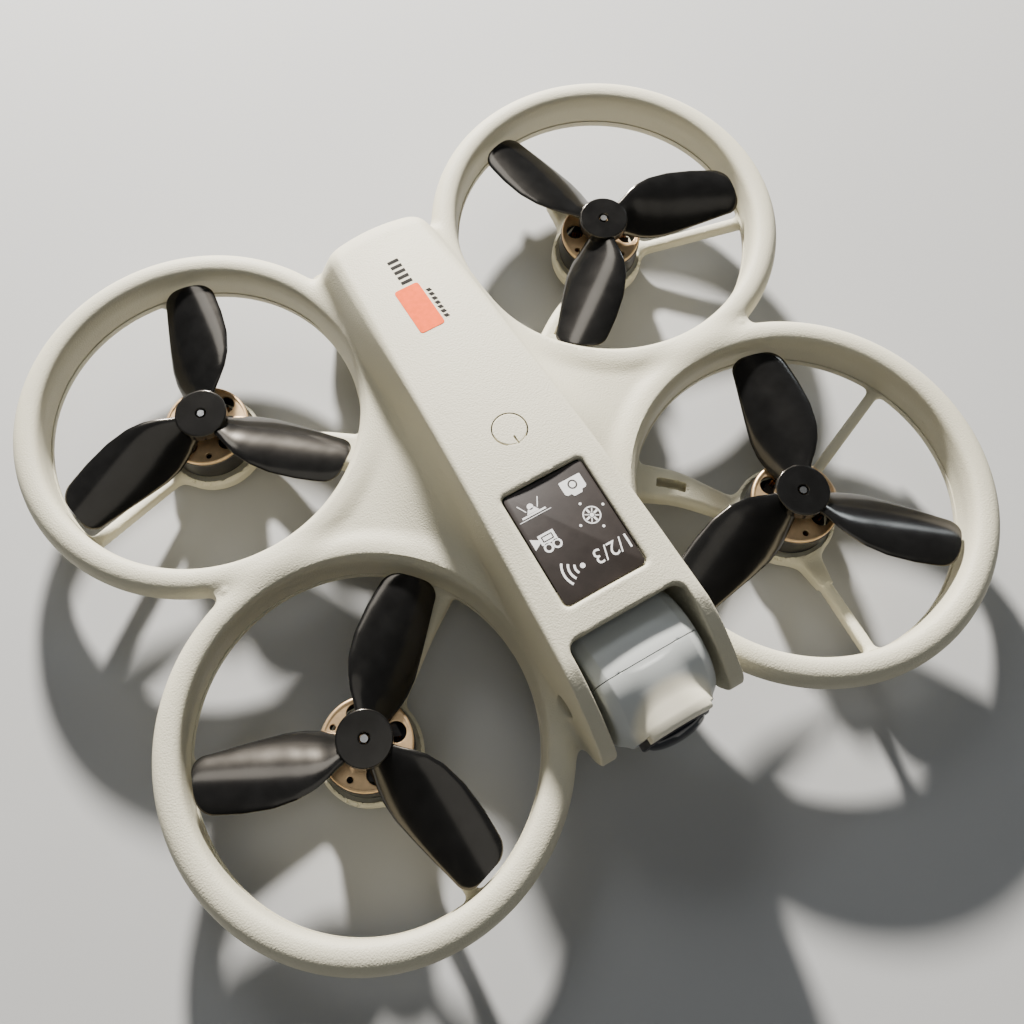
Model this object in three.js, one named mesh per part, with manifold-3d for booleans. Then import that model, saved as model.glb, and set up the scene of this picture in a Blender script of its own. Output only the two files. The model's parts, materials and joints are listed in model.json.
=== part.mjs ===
// A palm-sized FPV drone with four guard rings, a tilting nose camera and a slide-out battery.
// Millimetres, +Z up, nose towards -Y. The origin is on the ground, midway between the rotors.

import * as THREE from 'three';
import { mergeVertices } from 'three/addons/utils/BufferGeometryUtils.js';
import Module from 'manifold-3d';

const wasm = await Module();
wasm.setup();

// ---- driving dimensions ----------------------------------------------------------------

const GAP = 0.3; // clearance between neighbouring pieces
const WALL = 1.8; // moulded wall of the shells
const FAR = 90; // reach of a cut that runs right out of a piece

// rotors and guard rings
const ROTOR_X = 50.65;
const ROTOR_Y = 38.25;
const RING_Z = 20; // height of the rings' widest plane
const RING_OUTER_R = 40;
const RING_INNER_R = 33.5;
const RING_SEGMENTS = 36;
const SPLIT_Z = RING_Z - 5.65; // where the upper shell meets the lower frame
const SHELL_BOTTOM_Z = SPLIT_Z + GAP / 2;
const FRAME_TOP_Z = SPLIT_Z - GAP / 2;
const RIM_BOTTOM_Z = RING_Z - 8;

// hull
const NOSE_Y = -44.5; // front edge of the bridge over the camera bay
const TAIL_Y = 60.6; // lower edge of the tail face
const TAIL_RAKE = 6; // how far the tail face leans forward at the roof
const ROOF_Z = RING_Z + 21.1;
const ROOF_FALL_START_Y = -18; // the roof drops from here to the tail
const ROOF_FALL = 0.01638;
const ROOF_CROWN = 0.9;
const ROOF_HALF_WIDTH = 12.75; // at the rotors' midpoint
const ROOF_TAPER = 0.037; // the roof narrows by this much per millimetre of length
const SIDE_FLARE = 2.6; // the sides are this much wider at the split than at the roof
const TAIL_FLARE = 1.4; // and this much more from TAIL_FLARE_Y back
const TAIL_FLARE_Y = 45;
const BELLY_Z = 3.2;
const BELLY_MIN_HALF_WIDTH = 15.2;
const BELLY_TUCK = 3.4;

// camera bay and camera
const CHEEK_INNER_X = 12.2; // the two fork arms beside the camera
const CHEEK_OUTER_X = 14.6;
const BULKHEAD_Y = -37.2; // front face of the wall behind the camera
const LIP_Z = ROOF_Z - WALL - 1; // underside of the bridge over the drum
const CAMERA_Y = -52; // tilt axis
const CAMERA_Z = RING_Z + 6;
const DRUM_R = 12.6;
const DRUM_END_R = 11.7;
const DRUM_HALF = 10.8;
const DRUM_WALL = 1.5;
const DRUM_SEAM_Y = CAMERA_Y - 1.1;
const SNOUT_TIP_Y = -66.3;
const SNOUT_R = 7.9;
const LENS_R = 6.3;
const PIN_R = 1.5;
const TILT_MOTOR_R = 5;

// roof
const PANEL = { halfWidth: 8.8, front: -39.2, back: -15.5, floor: ROOF_Z - 0.8, corner: 1.2, thickness: 0.4 };
const BUTTON = { y: -4, r: 3.1, flangeR: 4.4, flangeDrop: 2.5, drop: 3.2, travel: 0.5 };
const SWITCH_HEIGHT = 2.2;
const BOARD = { halfWidth: 10, back: 6, thickness: 1.2 };

// battery
const BATTERY = { halfWidth: 10.2, bottom: 5.4, top: 17.4, front: -6, back: 59.2 };
const BAY_CLEARANCE = 0.4;
const LATCH = { bottom: 8, top: 14, front: 48.6, tip: 62.8, inner: 8.4, outer: 10.1, travel: 0.6 };

// motors and propellers
const BLADE_TIP_R = 32.6;
const BLADE_ROOT_R = 3.6;
const BLADE_Z = RING_Z - 1;
const HUB_R = 5.5;
const HUB_TOP_Z = RING_Z + 1.7;
const HUB_DISC = 2.6;
const NECK_R = 2.4;
const BELL_R = 9.3;
const BELL_WALL = 0.8;
const BELL_TOP_Z = RING_Z - 4.6;
const BELL_BOTTOM_Z = RING_Z - 12;
const BELL_BOSS = 1.6;
const SHAFT_R = 0.75;
const BEARING_R = 2;
const STATOR_R = 6.9;
const STATOR_ROOT_R = 3.4;
const STATOR_TEETH = 9;
const BASE_R = 8.4;
const BASE_THICKNESS = 0.9;
const POD_R = 10.4;
const POD_WALL = 0.8;
const POD_LIP_Z = 7.2;
const POD_FLOOR_Z = 6.2;
const POD_BOTTOM_Z = 3;
const FOOT_R = 4;

// belly fittings
const SCREW_PLACES = [[-8.4, -31.5], [8.4, -31.5], [-8.4, -15.5], [8.4, -15.5]];
const SCREW = { headR: 1.7, shankR: 0.9, bottom: 1.6, top: 9 };
const FLOW_SENSOR = { y: -24, r: 4, bottom: 2.6, top: 8 };
const TAIL_LIGHT = { halfWidth: 4, bottom: 23, top: 26, front: 54.6, back: 57.6 };

// Each rotor: side (+1 is port), end (+1 is tail), turning sense, and where its first blade rests.
const ROTORS = [
  { name: 'front_left', side: 1, end: -1, spin: -1, rest: 70.5 },
  { name: 'front_right', side: -1, end: -1, spin: 1, rest: 46.5 },
  { name: 'rear_left', side: 1, end: 1, spin: 1, rest: -11 },
  { name: 'rear_right', side: -1, end: 1, spin: -1, rest: 72 },
];
const THIRDS = [0, 120, 240];

// ---- materials -------------------------------------------------------------------------

const finish = (color, roughness, metalness = 0) =>
  new THREE.MeshStandardMaterial({ color, roughness, metalness });

const shellPlastic = finish(0xe2ded0, 0.6);
const cameraPlastic = finish(0xdcdfdc, 0.5);
const panelPlastic = finish(0x38322e, 0.35);
const propPlastic = finish(0x0d0d0e, 0.18);
const darkPlastic = finish(0x232426, 0.5);
const gold = finish(0xc8a573, 0.3, 1);
const steel = finish(0xc9c9c9, 0.25, 1);
const ironStack = finish(0x5b5650, 0.45, 1);
const boardGreen = finish(0x1d4a33, 0.5);
const lensGlass = finish(0x08090c, 0.05);
const rubber = finish(0x2b2b2b, 0.9);
const lampRed = finish(0xc23a2e, 0.2);

// ---- shape helpers ---------------------------------------------------------------------

const rad = THREE.MathUtils.degToRad;
const lerp = THREE.MathUtils.lerp;

// A closed three.js geometry as a solid that can be joined and cut, with its faces pointing out.
function solid(geometry) {
  geometry.deleteAttribute('normal');
  geometry.deleteAttribute('uv');
  const merged = mergeVertices(geometry, 1e-4);
  const vertProperties = new Float32Array(merged.attributes.position.array);
  const index = merged.index.array;
  const kept = [];
  for (let i = 0; i < index.length; i += 3) {
    const [a, b, c] = index.subarray(i, i + 3);
    if (a !== b && b !== c && c !== a) kept.push(a, b, c);
  }
  if (signedVolume(vertProperties, kept) < 0) kept.reverse();
  return new wasm.Manifold(new wasm.Mesh({ numProp: 3, vertProperties, triVerts: new Uint32Array(kept) }));
}

function signedVolume(points, triangles) {
  const corners = [new THREE.Vector3(), new THREE.Vector3(), new THREE.Vector3()];
  let sum = 0;
  for (let i = 0; i < triangles.length; i += 3) {
    corners.forEach((corner, k) => corner.fromArray(points, triangles[i + k] * 3));
    sum += corners[0].dot(corners[1].cross(corners[2]));
  }
  return sum;
}

function geometryOf(body) {
  const { vertProperties, triVerts } = body.getMesh();
  const geometry = new THREE.BufferGeometry();
  geometry.setAttribute('position', new THREE.BufferAttribute(new Float32Array(vertProperties), 3));
  geometry.setIndex(new THREE.BufferAttribute(new Uint32Array(triVerts), 1));
  geometry.computeVertexNormals();
  return geometry;
}

// A unit box whose corners and subdivisions are moved by a function of (u, v, w), each from 0 to 1.
function shapedBox(nu, nv, nw, place) {
  const geometry = new THREE.BoxGeometry(1, 1, 1, nu, nv, nw);
  const position = geometry.attributes.position;
  for (let i = 0; i < position.count; i++) {
    const [x, y, z] = place(position.getX(i) + 0.5, position.getY(i) + 0.5, position.getZ(i) + 0.5);
    position.setXYZ(i, x, y, z);
  }
  return solid(geometry);
}

const block = (x0, x1, y0, y1, z0, z1) =>
  shapedBox(1, 1, 1, (u, v, w) => [lerp(x0, x1, u), lerp(y0, y1, v), lerp(z0, z1, w)]);

// A profile of (radius, height) pairs turned about Z.
function turned(profile, segments = 20) {
  const geometry = new THREE.LatheGeometry(profile.map(([r, h]) => new THREE.Vector2(r, h)), segments);
  return solid(geometry.rotateX(Math.PI / 2));
}

const disc = (r, z0, z1, segments = 20) => turned([[0, z0], [r, z0], [r, z1], [0, z1]], segments);

const tube = (inner, outer, z0, z1, segments) =>
  turned([[inner, z0], [outer, z0], [outer, z1], [inner, z1], [inner, z0]], segments);

// A flat outline pulled up from z0 to z1.
function prism(shape, z0, z1, curveSegments = 10) {
  const geometry = new THREE.ExtrudeGeometry(shape, { depth: z1 - z0, bevelEnabled: false, curveSegments });
  return solid(geometry.translate(0, 0, z0));
}

const outline = (points) => new THREE.Shape(points.map(([x, y]) => new THREE.Vector2(x, y)));

function roundedRectangle(x0, x1, y0, y1, r) {
  const shape = new THREE.Shape();
  shape.absarc(x1 - r, y1 - r, r, 0, rad(90));
  shape.absarc(x0 + r, y1 - r, r, rad(90), rad(180));
  shape.absarc(x0 + r, y0 + r, r, rad(180), rad(270));
  shape.absarc(x1 - r, y0 + r, r, rad(270), rad(360));
  return shape;
}

// An outline drawn in (y, z) and pulled along X, and one drawn in (x, z) and pulled along Y.
const sideways = (points, x0, x1) => prism(outline(points), x0, x1).rotate([90, 0, 90]);
const lengthways = (points, reach) => prism(outline(points), -reach, reach).rotate([90, 0, 0]);

const mirrorX = (body) => body.mirror([1, 0, 0]);
const bothSides = (body) => [body, mirrorX(body)];
const atRotor = (body, rotor) => body.translate([rotor.side * ROTOR_X, rotor.end * ROTOR_Y, 0]);

// A round bar on the camera's tilt axis, from x0 to x1.
const onTiltAxis = (r, x0, x1, segments = 16) =>
  disc(r, x0, x1, segments).rotate([0, 90, 0]).translate([0, CAMERA_Y, CAMERA_Z]);

// A profile of (radius, y) pairs turned about the camera's optical axis.
const onLensAxis = (profile) =>
  turned(profile.map(([r, y]) => [r, -y])).rotate([90, 0, 0]).translate([0, 0, CAMERA_Z]);

const group = new THREE.Group();

function add(name, body, material) {
  const mesh = new THREE.Mesh(geometryOf(body), material);
  mesh.name = name;
  group.add(mesh);
}

// ---- hull form -------------------------------------------------------------------------

const roofHeight = (y) => ROOF_Z - ROOF_FALL * Math.max(0, y - ROOF_FALL_START_Y) ** 1.5;
const hullHalfWidth = (y, height) => {
  const flare = SIDE_FLARE + TAIL_FLARE * Math.min(1, Math.max(0, y / TAIL_FLARE_Y));
  return ROOF_HALF_WIDTH - ROOF_TAPER * y + flare * (1 - height);
};

// The hull between two stations, drawn in from its outside by `inset`.
function hull(front, back, bottom, inset, lengthSteps) {
  return shapedBox(4, lengthSteps, 3, (u, v, w) => {
    const y = lerp(front, back, v) - TAIL_RAKE * w * v ** 4;
    const across = 2 * u - 1;
    const top = roofHeight(y) - inset + ROOF_CROWN * (1 - across * across);
    return [across * (hullHalfWidth(y, w) - inset), y, lerp(bottom, top, w)];
  });
}

// ---- upper shell -----------------------------------------------------------------------

function guardRing() {
  return turned([
    [RING_INNER_R, SHELL_BOTTOM_Z], [34.1, RING_Z + 0.2], [35, RING_Z + 2.2], [37, RING_Z + 3.3],
    [39, RING_Z + 2.4], [RING_OUTER_R, RING_Z], [39.2, RING_Z - 2.2], [36.6, SHELL_BOTTOM_Z],
    [RING_INNER_R, SHELL_BOTTOM_Z],
  ], RING_SEGMENTS);
}

// The skin that fills the space between two rings and the hull: high at the hull, low outboard.
function sideWeb() {
  const hullX = 8;
  const centreR = 37;
  const meetingAngle = 67;
  const skin = 2.6;
  const plan = new THREE.Shape();
  plan.moveTo(hullX, -ROTOR_Y);
  plan.absarc(ROTOR_X, -ROTOR_Y, centreR, rad(180), rad(meetingAngle), true);
  plan.absarc(ROTOR_X, ROTOR_Y, centreR, rad(-meetingAngle), rad(-180), true);
  plan.lineTo(hullX, ROTOR_Y);
  const top = [[hullX, 16], [15, 13.5], [18, 8.5], [22, 5.6], [28, 3.9], [36, 3], [46, 2.6], [68, 2.3]];
  const under = top.map(([x, z]) => [x, Math.max(z - skin, SHELL_BOTTOM_Z - RING_Z)]).reverse();
  const ridge = [[-39, 3], [-27, 7], [-14, 12], [0, 14], [12, 11.5], [24, 6.5], [39, 3], [39, -9], [-39, -9]];
  const lift = (points) => points.map(([across, z]) => [across, RING_Z + z]);
  const sheet = lengthways(lift([...top, ...under]), ROTOR_Y);
  return prism(plan, 0, FAR).intersect(sheet).intersect(sideways(lift(ridge), 0, FAR));
}

// One fork arm beside the camera, drawn in the plane of the side view.
function forkArm() {
  const root = NOSE_Y + 6;
  const profile = [
    [root, 21], [NOSE_Y, 21], [-52, 20.2], [-57, 18.4], [-60.5, 16.6], [-63, 14], [-64.8, 10.5],
    [-65.1, 8], [-64.2, 5], [-62, 2.5], [-59.6, 0.7], [-53.9, -2.2], [-46.9, -5.2], [root, -5.5],
  ];
  return sideways(profile.map(([y, z]) => [y, z + RING_Z]), CHEEK_INNER_X, CHEEK_OUTER_X);
}

// Everything that is cut out of the upper shell.
function shellCuts() {
  const { halfWidth, front, back, floor, corner } = PANEL;
  const bayHalf = BATTERY.halfWidth + BAY_CLEARANCE;
  const light = TAIL_LIGHT;
  return [
    hull(BULKHEAD_Y + WALL, TAIL_Y - WALL, SHELL_BOTTOM_Z - 1, WALL, 8),
    block(-CHEEK_INNER_X, CHEEK_INNER_X, -FAR, NOSE_Y, 0, FAR),
    block(-CHEEK_INNER_X, CHEEK_INNER_X, NOSE_Y - 1, BULKHEAD_Y, 0, LIP_Z),
    block(-bayHalf, bayHalf, BATTERY.back - 20, FAR, 0, BATTERY.top + BAY_CLEARANCE),
    block(-light.halfWidth - GAP, light.halfWidth + GAP, light.front - 2, FAR, light.bottom - GAP,
      light.top + GAP),
    prism(roundedRectangle(-halfWidth, halfWidth, front, back, corner), floor, FAR, 4),
    disc(BUTTON.r + GAP, ROOF_Z - 8, FAR).translate([0, BUTTON.y, 0]),
    onTiltAxis(PIN_R + GAP, -FAR, FAR),
  ];
}

function upperShell() {
  let shell = hull(NOSE_Y, TAIL_Y, SHELL_BOTTOM_Z, 0, 12);
  for (const web of bothSides(sideWeb())) shell = shell.add(web);
  const opening = disc(RING_INNER_R + 0.8, 0, RING_Z + 8, RING_SEGMENTS);
  for (const rotor of ROTORS) {
    shell = shell.subtract(atRotor(opening, rotor)).add(atRotor(guardRing(), rotor));
  }
  for (const arm of bothSides(forkArm())) shell = shell.add(arm);
  for (const cut of shellCuts()) shell = shell.subtract(cut);
  return shell;
}

add('upper_shell', upperShell(), shellPlastic);

// ---- lower frame: belly tub, rims, spokes and motor pods -------------------------------

const rim = turned([
  [RING_INNER_R - 0.1, RIM_BOTTOM_Z], [36, RIM_BOTTOM_Z], [36.6, FRAME_TOP_Z],
  [RING_INNER_R, FRAME_TOP_Z], [RING_INNER_R - 0.1, RIM_BOTTOM_Z],
], RING_SEGMENTS);

const pod = turned([
  [0, POD_BOTTOM_Z], [8.4, POD_BOTTOM_Z], [POD_R, 5.2], [POD_R, POD_LIP_Z], [POD_R - POD_WALL, POD_LIP_Z],
  [POD_R - POD_WALL, POD_FLOOR_Z], [0, POD_FLOOR_Z],
], 16);

// A spoke from the pod out to the rim, its foot lower than its tip.
function spoke({ foot, tip, taper }, angle) {
  return shapedBox(1, 4, 1, (u, v, w) => {
    const width = lerp(foot.width, tip.width, v ** taper);
    const drop = (1 - w) * lerp(foot.depth, tip.depth, v);
    return [lerp(foot.r, tip.r, v), (u - 0.5) * width, lerp(foot.top, tip.top, v) - drop];
  }).rotate([0, 0, angle]);
}

const THIN_SPOKE = {
  foot: { r: 8, width: 6, top: 7, depth: 3.9 },
  tip: { r: 34.6, width: 2.4, top: SPLIT_Z - 0.5, depth: 3.2 },
  taper: 0.5,
};
// The fat spoke points at the hull and carries the motor's wires, under a slot in its top.
const WIRE_SPOKE = {
  foot: { r: 8, width: 5, top: 7, depth: 4.2 },
  tip: { r: 36.2, width: 8.6, top: FRAME_TOP_Z, depth: 5.4 },
  taper: 0.8,
};
const SPOKE_TURN = 1.4; // the fat spoke leans this many degrees off the hull's centre
const WIRE_SLOT = { inner: 22.6, outer: 29, halfWidth: 1.1, floor: 10 };

function motorArm(rotor) {
  const { side, end } = rotor;
  const facing = THREE.MathUtils.radToDeg(Math.atan2(-end * ROTOR_Y, -side * ROTOR_X));
  const inward = facing + side * end * SPOKE_TURN;
  let arm = rim.add(pod).add(spoke(WIRE_SPOKE, inward));
  for (const turn of THIRDS.slice(1)) arm = arm.add(spoke(THIN_SPOKE, inward + turn));
  const { inner, outer, halfWidth, floor } = WIRE_SLOT;
  const slot = block(inner, outer, -halfWidth, halfWidth, floor, RING_Z).rotate([0, 0, inward]);
  const seat = disc(POD_R - POD_WALL, POD_FLOOR_Z, RING_Z, 16);
  return atRotor(arm.subtract(slot).subtract(seat), rotor);
}

function bellyTub() {
  return shapedBox(2, 8, 2, (u, v, w) => {
    const y = lerp(BULKHEAD_Y, TAIL_Y, v);
    const wide = Math.max(v < 0.9 ? BELLY_MIN_HALF_WIDTH : 0, hullHalfWidth(y, 0));
    return [(2 * u - 1) * (wide - BELLY_TUCK * (1 - w) ** 2), y, lerp(BELLY_Z, FRAME_TOP_Z, w)];
  });
}

function lowerFrame() {
  let frame = bellyTub();
  const opening = disc(RING_INNER_R + 0.3, 0, RING_Z, RING_SEGMENTS);
  for (const rotor of ROTORS) frame = frame.subtract(atRotor(opening, rotor)).add(motorArm(rotor));
  const half = BATTERY.halfWidth + BAY_CLEARANCE;
  const floor = BATTERY.bottom - BAY_CLEARANCE;
  const contactWallY = BATTERY.front - 4;
  frame = frame.subtract(block(-half, half, contactWallY, FAR, floor, RING_Z));
  frame = frame.subtract(block(-half, half, BULKHEAD_Y + WALL, contactWallY - WALL, floor, RING_Z));
  frame = frame.subtract(disc(FLOW_SENSOR.r + GAP, 0, 10).translate([0, FLOW_SENSOR.y, 0]));
  const screwHole = disc(SCREW.shankR + GAP, 0, RING_Z, 12);
  for (const [x, y] of SCREW_PLACES) frame = frame.subtract(screwHole.translate([x, y, 0]));
  return frame;
}

add('lower_frame', lowerFrame(), shellPlastic);

const footTop = POD_BOTTOM_Z - GAP;
const foot = turned([[0, 0], [FOOT_R - 0.8, 0], [FOOT_R - 0.2, 0.8], [FOOT_R, footTop], [0, footTop]]);
for (const rotor of ROTORS) add(`foot_${rotor.name}`, atRotor(foot, rotor), rubber);

const headTop = BELLY_Z - GAP;
const screw = turned([
  [0, SCREW.bottom], [SCREW.headR, SCREW.bottom], [SCREW.headR, headTop], [SCREW.shankR, headTop],
  [SCREW.shankR, SCREW.top], [0, SCREW.top],
], 12);
SCREW_PLACES.forEach(([x, y], i) => add(`belly_screw_${i + 1}`, screw.translate([x, y, 0]), steel));

// ---- rotors ----------------------------------------------------------------------------

// t runs from 0 at the blade's root to 1 at its tip, and the chords are evenly spaced along it.
const BLADE_CHORDS = [6.6, 11.3, 13.4, 13.8, 13, 11.8, 7.6];
const chordAt = (t) => BLADE_CHORDS[Math.round(t * (BLADE_CHORDS.length - 1))];
const pitchAt = (t) => rad(lerp(34, 13, Math.sqrt(t)));
const thicknessAt = (t) => lerp(1.3, 0.6, t);
const BLADE_CAMBER = 0.9;
const BLADE_AXIS = 0.5; // share of the chord ahead of the blade's twist axis

function blade(spin) {
  return shapedBox(3, BLADE_CHORDS.length - 1, 1, (u, t, w) => {
    const across = (u - BLADE_AXIS) * chordAt(t);
    const arch = 1 - (2 * u - 1) ** 2;
    const lift = BLADE_CAMBER * arch + (w - 0.5) * thicknessAt(t) * (0.35 + 0.65 * arch);
    const pitch = pitchAt(t);
    const along = across * Math.cos(pitch) - lift * Math.sin(pitch);
    const up = across * Math.sin(pitch) + lift * Math.cos(pitch);
    return [lerp(BLADE_ROOT_R, BLADE_TIP_R - 0.15, t), spin * along, BLADE_Z + up];
  });
}

function propeller(rotor) {
  const discBottom = HUB_TOP_Z - HUB_DISC;
  const neckBottom = BELL_TOP_Z + GAP;
  let body = turned([
    [0, neckBottom], [NECK_R, neckBottom], [NECK_R, discBottom - 0.8], [HUB_R - 0.3, discBottom],
    [HUB_R, HUB_TOP_Z], [0, HUB_TOP_Z],
  ], 16);
  for (const turn of THIRDS) body = body.add(blade(rotor.spin).rotate([0, 0, rotor.rest + turn]));
  return body.subtract(disc(SHAFT_R + GAP, 0, FAR, 12));
}

function motorBell() {
  const bore = SHAFT_R + GAP;
  const inner = BELL_R - BELL_WALL;
  let bell = turned([
    [bore, BELL_TOP_Z - BELL_BOSS], [BEARING_R, BELL_TOP_Z - BELL_BOSS], [BEARING_R, BELL_TOP_Z - BELL_WALL],
    [inner, BELL_TOP_Z - BELL_WALL - 0.4], [inner, BELL_BOTTOM_Z], [BELL_R, BELL_BOTTOM_Z],
    [BELL_R, BELL_TOP_Z], [bore, BELL_TOP_Z], [bore, BELL_TOP_Z - BELL_BOSS],
  ]);
  const window = disc(1.9, BELL_TOP_Z - 3, FAR, 10).translate([6, 0, 0]);
  for (const turn of [0, 90, 180, 270]) bell = bell.subtract(window.rotate([0, 0, turn]));
  return bell;
}

// The laminated core seen from above: a hub with mushroom-shaped teeth.
function statorOutline() {
  const halfPitch = Math.PI / STATOR_TEETH;
  const tooth = [
    [STATOR_ROOT_R, -0.57], [STATOR_ROOT_R, -0.37], [STATOR_R, -0.69], [STATOR_R, 0.69], [STATOR_ROOT_R, 0.37],
  ];
  const points = [];
  for (let i = 0; i < STATOR_TEETH; i++) {
    for (const [r, share] of tooth) {
      const angle = (2 * i + share) * halfPitch;
      points.push([r * Math.cos(angle), r * Math.sin(angle)]);
    }
  }
  return outline(points);
}

const baseBottom = POD_FLOOR_Z + GAP;
const baseTop = baseBottom + BASE_THICKNESS;
const bearingTop = BELL_TOP_Z - BELL_BOSS - GAP;
const bearingTube = tube(SHAFT_R + GAP, BEARING_R, baseBottom, bearingTop, 12);
const motorBase = tube(SHAFT_R + GAP, BASE_R, baseBottom, baseTop, 16).add(bearingTube);
const statorHole = disc(BEARING_R + GAP, 0, FAR, 16);
const stator = prism(statorOutline(), baseTop + 0.5, bearingTop - 0.4).subtract(statorHole);
const shaft = disc(SHAFT_R, baseBottom, HUB_TOP_Z - 0.1, 12);

for (const rotor of ROTORS) {
  add(`motor_base_${rotor.name}`, atRotor(motorBase, rotor), darkPlastic);
  add(`motor_stator_${rotor.name}`, atRotor(stator, rotor), ironStack);
  add(`motor_bell_${rotor.name}`, atRotor(motorBell(), rotor), gold);
  add(`motor_shaft_${rotor.name}`, atRotor(shaft, rotor), steel);
  add(`propeller_${rotor.name}`, atRotor(propeller(rotor), rotor), propPlastic);
}

// ---- roof: panel, power button, board --------------------------------------------------

function displayPanel() {
  const { halfWidth, front, back, floor, corner, thickness } = PANEL;
  const x = halfWidth - GAP;
  const plate = roundedRectangle(-x, x, front + GAP, back - GAP, corner - GAP / 2);
  return prism(plate, floor + GAP, floor + GAP + thickness, 4);
}

add('display_panel', displayPanel(), panelPlastic);

const buttonTop = roofHeight(BUTTON.y) + ROOF_CROWN;
const flangeBottom = buttonTop - BUTTON.drop;
const flangeTop = buttonTop - BUTTON.flangeDrop;
const buttonCap = turned([
  [0, flangeBottom], [BUTTON.flangeR, flangeBottom], [BUTTON.flangeR, flangeTop], [BUTTON.r, flangeTop],
  [BUTTON.r, buttonTop - 0.1], [0, buttonTop - 0.1],
]);
add('power_button', buttonCap.translate([0, BUTTON.y, 0]), shellPlastic);

const switchTop = flangeBottom - BUTTON.travel - 0.1;
const boardTop = switchTop - SWITCH_HEIGHT;

function buttonSwitch() {
  const half = 2.6;
  const keyTravel = 0.7;
  const can = block(-half, half, BUTTON.y - half, BUTTON.y + half, boardTop + GAP, switchTop - keyTravel);
  return can.add(disc(1.5, switchTop - 1, switchTop, 12).translate([0, BUTTON.y, 0]));
}

function mainBoard() {
  const plate = block(-BOARD.halfWidth, BOARD.halfWidth, BULKHEAD_Y + WALL + 0.6, BOARD.back,
    boardTop - BOARD.thickness, boardTop);
  const radioCan = block(-7, 7, -30, -16, boardTop - 0.2, boardTop + 1);
  return plate.add(radioCan);
}

add('button_switch', buttonSwitch(), darkPlastic);
add('main_board', mainBoard(), boardGreen);

// ---- battery ---------------------------------------------------------------------------

// The pocket in the battery's side that one squeeze latch sits in.
function latchPocket() {
  const room = LATCH.travel + 0.2;
  return block(LATCH.inner - room, FAR, LATCH.front - GAP, FAR, LATCH.bottom - GAP, LATCH.top + GAP);
}

function batteryPack() {
  const { halfWidth, bottom, top, front, back } = BATTERY;
  const grip = block(-5, 5, back - 0.1, back + 2, 9.4, 12.6);
  let pack = block(-halfWidth, halfWidth, front, back, bottom, top).add(grip);
  for (const pocket of bothSides(latchPocket())) pack = pack.subtract(pocket);
  return pack;
}

function squeezeLatch() {
  const { bottom, top, front, tip, inner, outer } = LATCH;
  const root = inner + 0.6;
  const plan = [[root, front], [outer, front], [outer, tip - 2.8], [outer - 0.5, tip], [inner, tip],
    [inner + 0.4, tip - 3.2]];
  return prism(outline(plan), bottom, top);
}

add('battery_pack', batteryPack(), darkPlastic);
add('battery_latch_left', squeezeLatch(), darkPlastic);
add('battery_latch_right', mirrorX(squeezeLatch()), darkPlastic);

const contactFront = BATTERY.front - 4 + GAP;
const contacts = block(-6, 6, contactFront, BATTERY.front - GAP, BATTERY.bottom + 1, BATTERY.bottom + 7);
add('contact_block', contacts, darkPlastic);

// ---- camera ----------------------------------------------------------------------------

// The barrel-shaped drum along the tilt axis, drawn in by `inset`.
function drum(inset) {
  const end = DRUM_HALF - inset;
  const edge = 1;
  const stations = [-1, -0.88, -0.5, 0, 0.5, 0.88, 1];
  const side = stations.map((t) => {
    const r = lerp(DRUM_R, DRUM_END_R, t * t) - inset;
    return [Math.abs(t) === 1 ? r - edge : r, t * end];
  });
  const body = turned([[0, -end], ...side, [0, end]], 28);
  return body.rotate([0, 90, 0]).translate([0, CAMERA_Y, CAMERA_Z]);
}

function cameraHousing() {
  const snout = onLensAxis([
    [0, CAMERA_Y - 5], [10.6, CAMERA_Y - 5], [10, -59.5], [9.1, -63], [SNOUT_R + 0.5, -65.6],
    [SNOUT_R, SNOUT_TIP_Y], [0, SNOUT_TIP_Y],
  ]);
  const boreR = LENS_R + GAP;
  const bore = onLensAxis([[0, CAMERA_Y - 1], [boreR, CAMERA_Y - 1], [boreR, -FAR], [0, -FAR]]);
  const motorHole = onTiltAxis(TILT_MOTOR_R + 0.6, 0, FAR);
  const pinHole = onTiltAxis(PIN_R + 0.4, -FAR, 0);
  return drum(0).add(snout).subtract(drum(DRUM_WALL)).subtract(bore).subtract(motorHole).subtract(pinHole);
}

const housing = cameraHousing();
const aheadOfSeam = block(-FAR, FAR, -FAR, DRUM_SEAM_Y - GAP / 2, 0, FAR);
const behindSeam = block(-FAR, FAR, DRUM_SEAM_Y + GAP / 2, 0, 0, FAR);
add('camera_front_shell', housing.intersect(aheadOfSeam), cameraPlastic);
add('camera_rear_shell', housing.intersect(behindSeam), cameraPlastic);

const barrel = onLensAxis([
  [3.4, -56.5], [5.6, -56.5], [5.6, -60.5], [LENS_R, -60.5], [LENS_R, -65.4], [5, -65.4], [5, -62],
  [3.4, -61], [3.4, -56.5],
]);
add('lens_barrel', barrel, darkPlastic);

function lensDome() {
  const rimY = -65.8;
  const domeR = LENS_R - 0.3;
  const bulge = 1.9;
  const arc = [25, 50, 75].map((angle) => [domeR * Math.cos(rad(angle)), rimY - bulge * Math.sin(rad(angle))]);
  return onLensAxis([[0, -64.4], [4.6, -64.4], [4.6, rimY], [domeR, rimY], ...arc, [0, rimY - bulge]]);
}

add('lens_glass', lensDome(), lensGlass);
add('image_sensor_board', block(-4, 4, -56.1, -54.9, CAMERA_Z - 4, CAMERA_Z + 4), boardGreen);

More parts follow.
